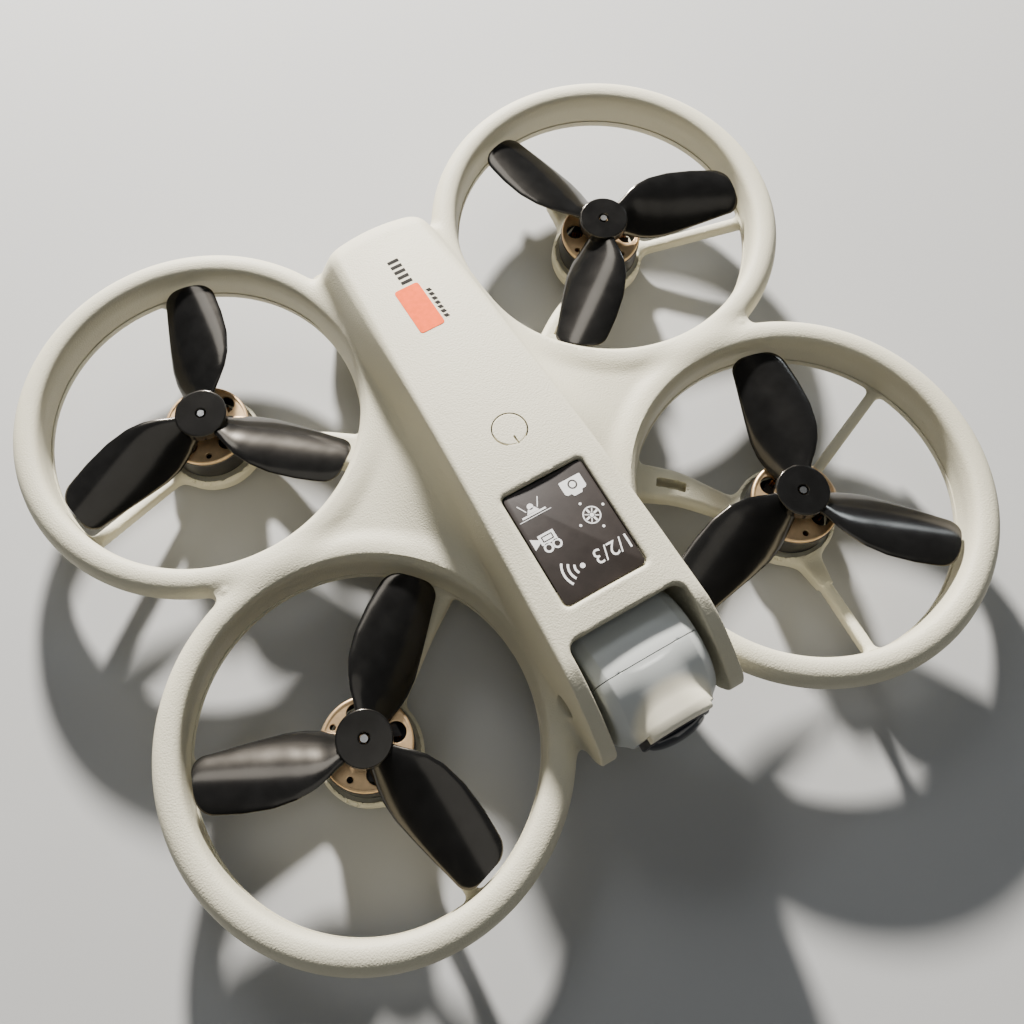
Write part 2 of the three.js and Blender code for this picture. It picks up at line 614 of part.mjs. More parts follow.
const pinEnd = CHEEK_OUTER_X - 0.6;
add('tilt_pin', onTiltAxis(PIN_R, -pinEnd, 1.2 - DRUM_HALF, 12), steel);
const motorCan = onTiltAxis(TILT_MOTOR_R, 6.4, CHEEK_INNER_X - GAP, 20);
add('tilt_motor', motorCan.add(onTiltAxis(PIN_R, 11, pinEnd, 12)), darkPlastic);

// ---- belly sensor and tail light -------------------------------------------------------

const sensorProfile = [
  [0, FLOW_SENSOR.bottom], [FLOW_SENSOR.r - 0.8, FLOW_SENSOR.bottom], [FLOW_SENSOR.r, FLOW_SENSOR.bottom + 0.6],
  [FLOW_SENSOR.r, FLOW_SENSOR.top], [0, FLOW_SENSOR.top],
];
add('flow_sensor', turned(sensorProfile).translate([0, FLOW_SENSOR.y, 0]), lensGlass);

const tailLight = block(-TAIL_LIGHT.halfWidth, TAIL_LIGHT.halfWidth, TAIL_LIGHT.front, TAIL_LIGHT.back,
  TAIL_LIGHT.bottom, TAIL_LIGHT.top);
add('tail_light', tailLight, lampRed);

export default group;
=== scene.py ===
"""The looks of a palm-sized FPV drone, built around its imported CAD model.

Shapes are worked out in millimetres and turned to metres where each mesh is made. The organic
mouldings (shell, frame, camera, propellers) are surfaces of distance fields, meshed on a grid.
"""

import json
import math

import bmesh
import bpy
import numpy as np
from mathutils import Matrix, Vector


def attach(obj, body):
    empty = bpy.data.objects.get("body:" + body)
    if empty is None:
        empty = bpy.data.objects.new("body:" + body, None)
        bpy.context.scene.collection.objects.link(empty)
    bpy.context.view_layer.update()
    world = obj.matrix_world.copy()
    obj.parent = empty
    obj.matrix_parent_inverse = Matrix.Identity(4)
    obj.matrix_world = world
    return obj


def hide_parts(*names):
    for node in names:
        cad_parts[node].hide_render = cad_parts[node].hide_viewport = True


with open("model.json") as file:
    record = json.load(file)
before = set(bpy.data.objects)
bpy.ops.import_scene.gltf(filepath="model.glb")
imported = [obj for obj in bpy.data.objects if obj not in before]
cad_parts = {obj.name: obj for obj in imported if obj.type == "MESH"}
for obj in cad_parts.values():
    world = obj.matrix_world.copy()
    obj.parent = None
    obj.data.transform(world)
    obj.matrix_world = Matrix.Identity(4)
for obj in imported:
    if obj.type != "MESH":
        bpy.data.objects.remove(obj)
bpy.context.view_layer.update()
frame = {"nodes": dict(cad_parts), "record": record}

MM = 0.001

# ---- main dimensions, in millimetres ----
# Most are the CAD model's. The rings' bar, the tail and the seam are shaped anew within its box.

ROTOR_X, ROTOR_Y = 50.65, 38.25
RING_Z = 20.0
SPLIT_Z = RING_Z - 5.65
SEAM = 0.06
NOSE_Y, TAIL_Y = -44.5, 61.2
TAIL_SLOPE = 0.26
ROOF_Z, ROOF_CROWN = RING_Z + 21.1, 0.9
WALL = 1.8
CHEEK_INNER_X = 12.2
BULKHEAD_Y = -37.2
CAMERA_Y, CAMERA_Z = -52.0, RING_Z + 6
RING_R, RING_BAR = 36.65, 3.1
ROOF_HALF, ROOF_TAPER, SIDE_FLARE = 12.75, 0.037, 2.6
BUTTON_Y, BUTTON_MARK_Y = -4.0, -6.6
SCREW_X, SCREW_YS = 8.4, (-31.5, -15.5)
SENSOR_Y = -24.0
BATTERY_Z = 11.0
ROTORS = {"front_left": (1, -1), "front_right": (-1, -1), "rear_left": (1, 1), "rear_right": (-1, 1)}


# ---- meshing a distance field ----


def smooth_min(a, b, k):
    h = np.clip(0.5 + 0.5 * (b - a) / k, 0.0, 1.0)
    return b + (a - b) * h - k * h * (1.0 - h)


def smooth_max(a, b, k):
    return -smooth_min(-a, -b, k)


def grid_line(low, high, step, fine=()):
    """Grid coordinates from low to high, with a smaller step inside each (from, to, step) of fine."""
    places = [low]
    while places[-1] < high:
        here = next((s for a, b, s in fine if a <= places[-1] < b), step)
        places.append(places[-1] + here)
    return np.array(places)


def field_gradient(field, points, reach=0.02):
    """Unit direction in which the field grows fastest at each point."""
    slopes = []
    for axis in range(3):
        ahead, behind = points.copy(), points.copy()
        ahead[:, axis] += reach
        behind[:, axis] -= reach
        slopes.append(field(*ahead.T) - field(*behind.T))
    slopes = np.stack(slopes, 1)
    return slopes / np.maximum(np.linalg.norm(slopes, axis=1, keepdims=True), 1e-9)


def crossing_points(field, start, end, at_start, at_end):
    """Where the field is zero between pairs of points on either side of the surface."""
    low, high = start.copy(), end.copy()
    f_low, f_high = at_start.copy(), at_end.copy()
    for _ in range(3):
        share = (f_low / (f_low - f_high))[:, None]
        middle = low + (high - low) * np.clip(share, 0.02, 0.98)
        value = field(*middle.T)
        same = (value < 0) == (f_low < 0)
        low[same], f_low[same] = middle[same], value[same]
        high[~same], f_high[~same] = middle[~same], value[~same]
    share = (f_low / (f_low - f_high))[:, None]
    return low + (high - low) * share


def contour(field, xs, ys, zs):
    """Vertices and quads of the surface where field(x, y, z) is 0, keeping its sharp edges.

    Dual contouring: each grid cell that the surface crosses holds one vertex, placed where the
    surface's tangent planes at the cell's edges meet best.
    """
    lines = (xs, ys, zs)
    values = field(*np.meshgrid(xs, ys, zs, indexing="ij"))
    inside = values < 0
    cells = tuple(len(line) - 1 for line in lines)
    owners, planes, quads = [], [], []
    for axis in range(3):
        across = [a for a in range(3) if a != axis]
        near = [slice(None)] * 3
        far = [slice(None)] * 3
        near[axis], far[axis] = slice(None, -1), slice(1, None)
        crossed = inside[tuple(near)] != inside[tuple(far)]
        for a in across:
            edge = [slice(None)] * 3
            edge[a] = [0, -1]
            crossed[tuple(edge)] = False
        where = np.argwhere(crossed)
        step = np.eye(3, dtype=int)[axis]
        start = np.stack([lines[a][where[:, a]] for a in range(3)], 1)
        end = np.stack([lines[a][where[:, a] + step[a]] for a in range(3)], 1)
        f_start = values[tuple(where.T)]
        f_end = values[tuple((where + step).T)]
        point = crossing_points(field, start, end, f_start, f_end)
        normal = field_gradient(field, point)
        corners = []
        for da, db in ((-1, -1), (0, -1), (0, 0), (-1, 0)):
            cell = where.copy()
            cell[:, across[0]] += da
            cell[:, across[1]] += db
            corners.append(np.ravel_multi_index(tuple(cell.T), cells))
            owners.append(corners[-1])
            planes.append(np.hstack([point, normal]))
        quad = np.stack(corners, 1)
        flip = (f_start < 0) == (axis == 1)
        quad[flip] = quad[flip][:, ::-1]
        quads.append(quad)
    owners, planes, quads = np.concatenate(owners), np.concatenate(planes), np.concatenate(quads)
    used, slot = np.unique(owners, return_inverse=True)
    vertices = cell_vertices(slot, planes, len(used))
    low, high = cell_corners(used, cells, lines)
    vertices = np.clip(vertices, low, high)
    return vertices, np.searchsorted(used, quads)


def cell_corners(used, cells, lines):
    index = np.unravel_index(used, cells)
    low = np.stack([lines[a][index[a]] for a in range(3)], 1)
    high = np.stack([lines[a][index[a] + 1] for a in range(3)], 1)
    return low, high


def cell_vertices(slot, planes, count, pull=0.04):
    """The point of each cell nearest to all its tangent planes, pulled lightly to their middle."""
    point, normal = planes[:, :3], planes[:, 3:]
    hits = np.bincount(slot, minlength=count)
    middle = np.stack([np.bincount(slot, point[:, a], count) for a in range(3)], 1) / hits[:, None]
    offset = ((point - middle[slot]) * normal).sum(1)
    right = np.stack([np.bincount(slot, normal[:, a] * offset, count) for a in range(3)], 1)
    matrix = np.zeros((count, 3, 3))
    for a in range(3):
        for b in range(a, 3):
            matrix[:, a, b] = matrix[:, b, a] = np.bincount(slot, normal[:, a] * normal[:, b], count)
        matrix[:, a, a] += pull * hits
    return middle + np.linalg.solve(matrix, right[:, :, None])[:, :, 0]


def new_object(name, vertices, faces, material, sharp=35.0):
    """A smooth-shaded mesh object from millimetre vertices."""
    mesh = bpy.data.meshes.new(name)
    mesh.from_pydata((np.asarray(vertices, float) * MM).tolist(), [], [list(map(int, f)) for f in faces])
    mesh.validate()
    piece = bpy.data.objects.new(name, mesh)
    bpy.context.scene.collection.objects.link(piece)
    smooth_shade(piece, sharp)
    if material is not None:
        mesh.materials.append(material)
    return piece


def smooth_shade(piece, sharp):
    mesh = piece.data
    mesh.shade_smooth()
    mesh.set_sharp_from_angle(angle=math.radians(sharp))


def mirrored_contour(field, xs, ys, zs):
    """The surface of a field that is the same left and right, meshed at x > 0 and mirrored.

    The first grid cells of xs straddle x = 0, and their vertices lie on the plane of symmetry.
    """
    vertices, quads = contour(field, xs, ys, zs)
    seam = vertices[:, 0] <= xs[1]
    vertices[seam, 0] = 0.0
    quads = quads[~seam[quads].all(1)]
    count = len(vertices)
    twin = np.where(seam, np.arange(count), np.arange(count) + count)
    both = np.vstack([vertices, vertices * np.array([-1.0, 1.0, 1.0])])
    quads = np.vstack([quads, twin[quads][:, ::-1]])
    used, packed = np.unique(quads, return_inverse=True)
    return both[used], packed.reshape(quads.shape)


def half_line(high, step, fine=()):
    """Grid coordinates across half the width, from just left of the plane of symmetry."""
    first = fine[0][2] if fine else step
    finer = [(-first, *f[1:]) if i == 0 else f for i, f in enumerate(fine)]
    return grid_line(-first / 2, high, step, finer)


# ---- plain shapes as distance fields ----


def polygon_field(u, v, corners):
    """Signed distance in a plane to a closed polygon, negative inside."""
    best = np.full(np.broadcast(u, v).shape, np.inf)
    sign = np.ones_like(best)
    for (u0, v0), (u1, v1) in zip(corners, corners[1:] + corners[:1]):
        eu, ev = u1 - u0, v1 - v0
        wu, wv = u - u0, v - v0
        t = np.clip((wu * eu + wv * ev) / (eu * eu + ev * ev), 0.0, 1.0)
        best = np.minimum(best, (wu - eu * t) ** 2 + (wv - ev * t) ** 2)
        above, below = v >= v0, v < v1
        left = eu * wv > ev * wu
        flips = (above & below & left) | (~above & ~below & ~left)
        sign = np.where(flips, -sign, sign)
    return sign * np.sqrt(best)


def box_field(x, y, z, low, high, r=0.0):
    """Signed distance to a box with edges rounded to radius r."""
    parts = []
    for value, a, b in ((x, low[0], high[0]), (y, low[1], high[1]), (z, low[2], high[2])):
        parts.append(np.abs(value - (a + b) / 2) - (b - a) / 2 + r)
    outside = np.sqrt(sum(np.maximum(part, 0.0) ** 2 for part in parts))
    return outside + np.minimum(np.maximum(np.maximum(parts[0], parts[1]), parts[2]), 0.0) - r


def rounded_rectangle_field(u, v, u0, u1, v0, v1, r):
    a = np.abs(u - (u0 + u1) / 2) - (u1 - u0) / 2 + r
    b = np.abs(v - (v0 + v1) / 2) - (v1 - v0) / 2 + r
    return np.hypot(np.maximum(a, 0.0), np.maximum(b, 0.0)) + np.minimum(np.maximum(a, b), 0.0) - r


# ---- hull form ----


def roof_height(y):
    return ROOF_Z - 0.01638 * np.maximum(0.0, y + 18.0) ** 1.5


def roof_surface(x, y):
    """Height of the roof with its crown."""
    return roof_height(y) + ROOF_CROWN * (1.0 - (x / 14.0) ** 2)


def roof_half_width(y):
    return ROOF_HALF - ROOF_TAPER * y


def tail_face(z):
    """How far back the leaning tail reaches at a height."""
    return TAIL_Y - TAIL_SLOPE * (z - SPLIT_Z)


def ramp(value, start, end):
    """0 before start, 1 after end, smooth between."""
    t = np.clip((value - start) / (end - start), 0.0, 1.0)
    return t * t * (3.0 - 2.0 * t)


def hull_field(x, y, z):
    """The closed outer form of the hull, from the nose cheeks to the tail, open-ended at the nose."""
    ax = np.abs(x)
    top = (z - roof_surface(x, y)) * 0.985
    drop = 18.0 * (1.0 - np.exp(-np.maximum(0.0, roof_height(y) - z) / 18.0))
    flare = 0.15 * ramp(y, -62.0, -36.0) + 0.38 * ramp(y, 0.0, 40.0) - 0.12 * ramp(y, 52.0, 61.0)
    side = (ax - roof_half_width(y) - 0.35 - flare * drop) * 0.96
    hull = smooth_max(top, side, 1.0 + 0.7 * ramp(y, 10.0, 55.0))
    tail = (y - tail_face(z) + 0.012 * ax**2) * 0.95
    return smooth_max(hull, tail, 4.0)


def ring_distance(x, y, end):
    return np.hypot(np.abs(x) - ROTOR_X, y - end * ROTOR_Y)


RING_WALL = [(33.8, 20.0), (39.3, 19.6), (36.9, 14.35), (36.4, 11.0), (33.5, 11.0)]


def ring_field(x, y, z, end):
    """A guard ring: a round bar on a wall that tapers down to the rim of the lower frame."""
    r = ring_distance(x, y, end)
    bar = (np.abs(r - RING_R) / RING_BAR) ** 2.2 + (np.abs(z - RING_Z) / RING_BAR) ** 2.2
    bar = bar ** (1 / 2.2) * RING_BAR - RING_BAR
    return smooth_min(bar, polygon_field(r, z, RING_WALL), 1.2)


# the fork arms from the side, drawn in by their rounding
CHEEK_TOP = [(-43.5 - 15.8 * t, 36.6 - 8.8 * t**1.8) for t in np.linspace(0.0, 1.0, 18)]
CHEEK_CORE = [(-36.0, 37.5), *CHEEK_TOP, (-58.4, 25.4), (-46.0, 19.6), (-38.0, 18.0)]
CHEEK_ROUND = 5.2


def shell_field(x, y, z):
    """The upper shell: hull roof and sides, four guard rings, their webs, and the fork arms."""
    ax = np.abs(x)
    hull = hull_field(x, y, z)
    # seen from the side, the hull ends at the nose in the outline of the two fork arms
    outline = smooth_min(polygon_field(y, z, CHEEK_CORE) - CHEEK_ROUND, -40.5 - y, 0.5)
    body = smooth_max(hull, outline, 0.6)
    near_ring = np.minimum(ring_distance(x, y, -1), ring_distance(x, y, 1))
    # the web: a thin floor between the rings, which swells up the side of the hull
    level = RING_Z + 1.2 + 1.6 * ramp(ax, 60.0, 20.0)
    web = np.maximum(np.abs(z - level + 1.2) - 1.3, 36.2 - near_ring)
    web = np.maximum(web, ax - 63.2)
    web = np.maximum(web, np.abs(y) - 37.0)
    rings = smooth_min(ring_field(x, y, z, -1), ring_field(x, y, z, 1), 3.0)
    rings = smooth_min(rings, web, 2.2)
    swell = 3.0 + 11.0 * np.exp(-((y / 17.0) ** 2))
    shell = smooth_min(rings, body, swell)
    # the ring openings stay round, and nothing hangs below the seam
    shell = smooth_max(shell, 33.45 + 0.075 * (z - SPLIT_Z) - near_ring, 0.9)
    shell = np.maximum(shell, SPLIT_Z + SEAM - z)
    # hollow inside
    hollow = np.maximum(hull + WALL, BULKHEAD_Y + WALL - y)
    shell = np.maximum(shell, -hollow)
    # camera bay: open at the nose, with a lip over the drum
    bay = rounded_rectangle_field(x, y, -CHEEK_INNER_X, CHEEK_INNER_X, -90.0, NOSE_Y, 2.4)
    under_lip = np.maximum(np.maximum(ax - CHEEK_INNER_X, y - BULKHEAD_Y), z - (ROOF_Z - WALL - 0.2))
    shell = smooth_max(shell, -np.minimum(bay, under_lip), 0.6)
    return cut_details(shell, x, y, z)


def cut_details(shell, x, y, z):
    """Seats, grooves and dimples in the upper shell."""
    ax = np.abs(x)
    recess = rounded_rectangle_field(x, y, -8.8, 8.8, -39.2, -15.5, 1.2)
    shell = smooth_max(shell, -np.maximum(recess, (ROOF_Z - 0.75) - z), 1.1)
    # the power button's round seat is a wide groove except towards the nose, where it nearly closes
    turn = np.arctan2(ax, -(y - BUTTON_Y))
    seat_r = np.where(turn > math.radians(36.0), 3.6, 3.4)
    button = np.maximum(np.hypot(x, y - BUTTON_Y) - seat_r, 33.0 - z)
    mark = np.maximum(np.maximum(ax - 0.27, np.abs(y - BUTTON_MARK_Y) - 0.95), 40.6 - z)
    shell = np.maximum(shell, -np.minimum(button, mark))
    window = box_field(x, y, z, (-10.6, 40.0, 0.0), (10.6, 80.0, 17.8), 0.5)
    light = box_field(x, y, z, (-4.3, 50.0, 22.7), (4.3, 80.0, 26.3), 0.6)
    shell = smooth_max(shell, -np.minimum(window, light), 0.3)
    # round dimples at the tilt axis, and a small moulding pip on each outboard web
    axis_r = np.hypot(y - CAMERA_Y, z - CAMERA_Z)
    shell = smooth_max(shell, -np.maximum(axis_r - 2.3, 14.2 - ax), 0.4)
    shell = np.maximum(shell, -(axis_r - 1.62))
    pip = np.sqrt((ax - 61.6) ** 2 + y**2 + ((z - RING_Z - 2.1) * 1.6) ** 2) - 1.0
    return smooth_min(shell, pip, 0.4)


# ---- lower frame ----

POD_R, POD_LIP_Z, POD_FLOOR_Z, POD_BOTTOM_Z = 10.8, 7.2, 6.2, 3.0
RIM_CORE = [(34.75, 30.0), (36.0, 30.0), (35.15, 13.2), (34.75, 13.2)]
BELLY_Z = 3.2


def spoke_field(along, across, z, start, end, rounding):
    """A tapering bar; start and end are (distance out, half width, top, depth)."""
    t = np.clip((along - start[0]) / (end[0] - start[0]), 0.0, 1.0)
    half, top, depth = (a + (b - a) * t for a, b in zip(start[1:], end[1:]))
    beside = np.abs(across) - half + rounding
    above = np.abs(z - top + depth / 2) - depth / 2 + rounding
    bar = np.hypot(np.maximum(beside, 0), np.maximum(above, 0)) + np.minimum(np.maximum(beside, above), 0)
    return np.maximum((bar - rounding) * 0.92, np.maximum(start[0] - along, along - end[0]))


def arm_field(x, y, z, end):
    """One motor pod with its rim and three spokes, on the +X side."""
    dx, dy = x - ROTOR_X, y - end * ROTOR_Y
    r = np.hypot(dx, dy)
    inward = math.atan2(-end * ROTOR_Y, -ROTOR_X) + math.radians(1.4 * end)
    spokes = []
    for turn in (0, 120, 240):
        angle = inward + math.radians(turn)
        along = dx * math.cos(angle) + dy * math.sin(angle)
        across = dy * math.cos(angle) - dx * math.sin(angle)
        if turn == 0:
            rise = 7.6 * ramp(along, 9.0, 27.0) - 7.6 * np.clip((along - 7.0) / 30.0, 0.0, 1.0)
            bar = spoke_field(along, across, z - rise, (7.0, 2.3, 6.6, 4.2), (37.0, 4.3, 14.2, 5.2), 1.5)
            slot = box_field(along, across, z, (22.5, -1.05, 9.6), (29.0, 1.05, 30.0), 0.2)
            bar = smooth_max(bar, -slot, 0.3)
        else:
            bar = spoke_field(along, across, z, (8.0, 1.15, 6.6, 3.2), (36.0, 1.15, 14.6, 3.4), 0.8)
            # the spoke that points away from the hull's middle has a stepped root
            if turn == (120 if end < 0 else 240):
                root = spoke_field(along, across, z, (7.0, 3.2, 6.6, 3.8), (17.5, 1.45, 9.6, 4.2), 0.9)
                bar = smooth_min(bar, root, 0.5)
        spokes.append(bar)
    pod = rounded_rectangle_field(r, z, -POD_R, POD_R, POD_BOTTOM_Z, POD_LIP_Z, 1.0)
    arm = smooth_min(smooth_min(spokes[1], spokes[2], 1.5), spokes[0], 1.5)
    arm = smooth_min(arm, pod, 2.4)
    seat = np.maximum(r - (POD_R - 0.8), POD_FLOOR_Z - z)
    arm = smooth_max(arm, -seat, 0.3)
    rim = polygon_field(r, z, RIM_CORE) - 1.2
    return smooth_min(arm, rim, 1.6)


def frame_field(x, y, z):
    """The lower frame: belly tub, rims, spokes and motor pods."""
    ax = np.abs(x)
    near_ring = np.minimum(ring_distance(x, y, -1), ring_distance(x, y, 1))
    half = np.maximum(15.2, ROOF_HALF + SIDE_FLARE - ROOF_TAPER * y) - 0.5 * ramp(y, 46.0, 60.0)
    tuck = 3.2 * ramp(z, 13.0, 3.0)
    tub = rounded_rectangle_field(ax + tuck, z, -40.0, half, BELLY_Z, 40.0, 2.6)
    ends = np.abs(y - (BULKHEAD_Y + TAIL_Y) / 2) - (TAIL_Y - BULKHEAD_Y) / 2
    tub = smooth_max(tub, ends, 2.4)
    arms = np.minimum(arm_field(ax, y, z, -1), arm_field(ax, y, z, 1))
    lower = smooth_min(tub, arms, 2.2)
    # the rings' openings are cut from the tub, and the arms stay in them
    lower = np.minimum(smooth_max(lower, 33.42 - near_ring, 0.8), arms)
    lower = np.maximum(lower, z - (SPLIT_Z - SEAM))
    bay = box_field(x, y, z, (-10.6, -10.0, 5.0), (10.6, 90.0, 40.0), 0.4)
    electronics = box_field(x, y, z, (-10.6, BULKHEAD_Y + WALL, 5.0), (10.6, -11.8, 40.0), 0.8)
    lower = smooth_max(lower, -np.minimum(bay, electronics), 0.3)
    sensor = np.hypot(x, y - SENSOR_Y) - 4.3
    lower = smooth_max(lower, -sensor, 0.4)
    for screw_y in SCREW_YS:
        well = np.maximum(np.hypot(ax - SCREW_X, y - screw_y) - 2.1, z - 4.0)
        hole = np.hypot(ax - SCREW_X, y - screw_y) - 1.2
        lower = smooth_max(lower, -np.minimum(well, hole), 0.2)
    # cooling slots in the belly
    slots = np.maximum(np.abs(np.mod(y + 1.0, 3.2) - 1.6) - 0.7, np.abs(y + 2.6) - 4.6)
    slots = np.maximum(slots, np.maximum(ax - 6.5, z - 5.6))
    return smooth_max(lower, -slots, 0.3)


# ---- materials ----


def procedural(name, color, roughness, metallic=0.0, spread=0.05, patch=220.0, grain=None, **sockets):
    """A Principled material whose colour and roughness drift over soft patches.

    grain is (cells per metre, depth in metres, strength) of a fine surface relief.
    """
    material = bpy.data.materials.new(name)
    material.use_nodes = True
    nodes, links = material.node_tree.nodes, material.node_tree.links
    shader = nodes["Principled BSDF"]
    place = nodes.new("ShaderNodeTexCoord")
    noise = nodes.new("ShaderNodeTexNoise")
    noise.inputs["Scale"].default_value = patch
    noise.inputs["Detail"].default_value = 4.0
    links.new(place.outputs["Object"], noise.inputs["Vector"])
    ramp_node = nodes.new("ShaderNodeValToRGB")
    ends = ramp_node.color_ramp.elements
    ends[0].position, ends[1].position = 0.3, 0.7
    ends[0].color = (*[c * (1.0 - spread) for c in color], 1.0)
    ends[1].color = (*[min(1.0, c * (1.0 + spread)) for c in color], 1.0)
    links.new(noise.outputs["Fac"], ramp_node.inputs["Fac"])
    links.new(ramp_node.outputs["Color"], shader.inputs["Base Color"])
    gloss = nodes.new("ShaderNodeMapRange")
    gloss.inputs["To Min"].default_value = roughness * 0.88
    gloss.inputs["To Max"].default_value = min(1.0, roughness * 1.12)
    links.new(noise.outputs["Fac"], gloss.inputs["Value"])
    links.new(gloss.outputs["Result"], shader.inputs["Roughness"])
    shader.inputs["Metallic"].default_value = metallic
    for socket, value in sockets.items():
        shader.inputs[socket.replace("_", " ")].default_value = value
    if grain:
        cells, depth, strength = grain
        relief = nodes.new("ShaderNodeTexNoise")
        relief.inputs["Scale"].default_value = cells
        relief.inputs["Detail"].default_value = 1.5
        links.new(place.outputs["Object"], relief.inputs["Vector"])
        bump = nodes.new("ShaderNodeBump")
        bump.inputs["Strength"].default_value = strength
        bump.inputs["Distance"].default_value = depth
        links.new(relief.outputs["Fac"], bump.inputs["Height"])
        links.new(bump.outputs["Normal"], shader.inputs["Normal"])
    return material


SHELL = procedural("shell_plastic", (0.64, 0.60, 0.455), 0.55, spread=0.02, patch=60.0,
                   grain=(3000.0, 0.00012, 0.75), Specular_IOR_Level=0.3)
CAMERA_SHELL, CAMERA_FACE_PAINTED_LIGHT = [
    procedural(name, (0.62, 0.64, 0.61), 0.42, spread=0.015, patch=60.0, grain=(3000.0, 0.00004, 0.15))
    for name in ("camera_plastic", "camera_face")
]
PANEL = procedural("panel_plastic", (0.027, 0.021, 0.018), 0.5, spread=0.12, patch=400.0,
                   grain=(2500.0, 0.00003, 0.2), Specular_IOR_Level=0.25)
PROP = procedural("prop_plastic", (0.006, 0.006, 0.006), 0.17, spread=0.25, patch=300.0,
                  Specular_Tint=(1.0, 0.9, 0.76, 1.0), Specular_IOR_Level=0.6)
DARK = procedural("dark_plastic", (0.025, 0.025, 0.028), 0.42, spread=0.15, patch=500.0,
                  grain=(3000.0, 0.00004, 0.2))
GOLD = procedural("motor_gold", (0.74, 0.51, 0.28), 0.38, 0.85, spread=0.08, patch=900.0)
STEEL = procedural("steel", (0.66, 0.66, 0.65), 0.24, 1.0, spread=0.06, patch=900.0)
IRON = procedural("iron_stack", (0.05, 0.047, 0.045), 0.35, 0.8, spread=0.2, patch=900.0)
COPPER = procedural("copper_wire", (0.55, 0.22, 0.09), 0.35, 1.0, spread=0.15, patch=1500.0)
BOARD = procedural("circuit_board", (0.02, 0.09, 0.045), 0.4, spread=0.2, patch=900.0)
GLASS = procedural("lens_glass", (0.012, 0.013, 0.020), 0.06, spread=0.3, patch=200.0)
RUBBER = procedural("rubber", (0.03, 0.03, 0.03), 0.8, spread=0.15, patch=700.0,
                    grain=(2500.0, 0.00005, 0.3))
LAMP = procedural("lamp_red", (0.50, 0.035, 0.02), 0.15, spread=0.1, patch=500.0)
CORAL = procedural("print_coral", (0.92, 0.13, 0.035), 0.85, spread=0.08, patch=900.0,
                   Specular_IOR_Level=0.08)
INK = procedural("print_dark", (0.03, 0.028, 0.026), 0.85, spread=0.2, patch=900.0,
                 Specular_IOR_Level=0.08)
WHITE_INK = procedural("print_white", (0.85, 0.84, 0.82), 0.5, spread=0.03, patch=900.0)


def tint_near(material, centre, reach, color):
    """Fade a material's colour towards another within `reach` millimetres of a point."""
    nodes, links = material.node_tree.nodes, material.node_tree.links
    base = nodes["Principled BSDF"].inputs["Base Color"]
    before = base.links[0].from_socket
    distance = nodes.new("ShaderNodeVectorMath")
    distance.operation = "DISTANCE"
    distance.inputs[1].default_value = [c * MM for c in centre]
    links.new(nodes["Texture Coordinate"].outputs["Object"], distance.inputs[0])
    fade = nodes.new("ShaderNodeMapRange")
    fade.interpolation_type = "SMOOTHSTEP"
    fade.inputs["From Min"].default_value = reach * MM * 0.75
    fade.inputs["From Max"].default_value = reach * MM
    fade.inputs["To Min"].default_value, fade.inputs["To Max"].default_value = 1.0, 0.0
    links.new(distance.outputs["Value"], fade.inputs["Value"])
    blend = nodes.new("ShaderNodeMixRGB")
    blend.inputs["Color2"].default_value = (*color, 1.0)
    links.new(fade.outputs["Result"], blend.inputs["Fac"])
    links.new(before, blend.inputs["Color1"])
    links.new(blend.outputs["Color"], base)


# Painted highlight: the camera face turns a lighter, warmer cream within about 9.5 mm of the hood's front
# top, standing in for light falling on the hood.
tint_near(CAMERA_FACE_PAINTED_LIGHT, (0.0, -64.5, 32.5), 9.5, (0.94, 0.88, 0.69))

SLOT_MATERIALS = {
    "shell_plastic": SHELL, "camera_plastic": CAMERA_SHELL, "panel_plastic": PANEL,
    "prop_plastic": PROP, "dark_plastic": DARK, "motor_gold": GOLD, "steel": STEEL,
    "iron_stack": IRON, "circuit_board": BOARD, "lens_glass": GLASS, "rubber": RUBBER,
    "lamp_red": LAMP,
}
for subpart in frame["record"]["subparts"]:
    mesh = frame["nodes"][subpart["node"]].data
    mesh.materials.clear()
    mesh.materials.append(SLOT_MATERIALS[subpart["material_slot"]])


def fit(piece, body, slot_name, *nodes):
    """Ride a finished piece on its body and let it stand for CAD nodes, which it hides; slot_name is not
    used.
    """
    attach(piece, body)
    if nodes:
        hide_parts(*nodes)
    return piece


# ---- shell and frame pieces ----

FINE = 0.5
shell_mesh = mirrored_contour(
    shell_field,
    half_line(92, FINE * 1.1, [(0, 4.4, FINE * 0.44), (11.4, 13.6, FINE * 0.5)]),
    grid_line(-80, 80, FINE * 1.1, [(-62, -38, FINE * 0.6), (-8.4, 0.4, FINE * 0.44)]),
    grid_line(13, 43.5, FINE * 0.9, [(38.8, 42.4, FINE * 0.5)]),
)
shell_piece = new_object("shell", *shell_mesh, SHELL)
fit(shell_piece, "airframe", "shell_plastic", "upper_shell")

frame_mesh = mirrored_contour(
    frame_field,
    half_line(92, FINE * 1.1),
    grid_line(-80, 80, FINE * 1.1),
    grid_line(2.2, 15, FINE),
)
frame_piece = new_object("underframe", *frame_mesh, SHELL)
fit(frame_piece, "airframe", "shell_plastic", "lower_frame")

# ---- turned, lofted and flat pieces ----


def joined(*parts):
    """Several (vertices, faces) pairs as one."""
    vertices, faces, start = [], [], 0
    for points, polygons in parts:
        vertices.append(np.asarray(points, float))
        faces += [tuple(int(i) + start for i in polygon) for polygon in polygons]
        start += len(points)
    return np.vstack(vertices), faces


def loft(rings, closed_ends=True):
    """A skin over rings that all have the same number of points."""
    count = len(rings[0])
    faces = []
    for i in range(len(rings) - 1):
        a, b = i * count, (i + 1) * count
        faces += [(a + j, a + (j + 1) % count, b + (j + 1) % count, b + j) for j in range(count)]
    if closed_ends:
        last = (len(rings) - 1) * count
        faces += [tuple(reversed(range(count))), tuple(range(last, last + count))]
    return np.vstack(rings), faces


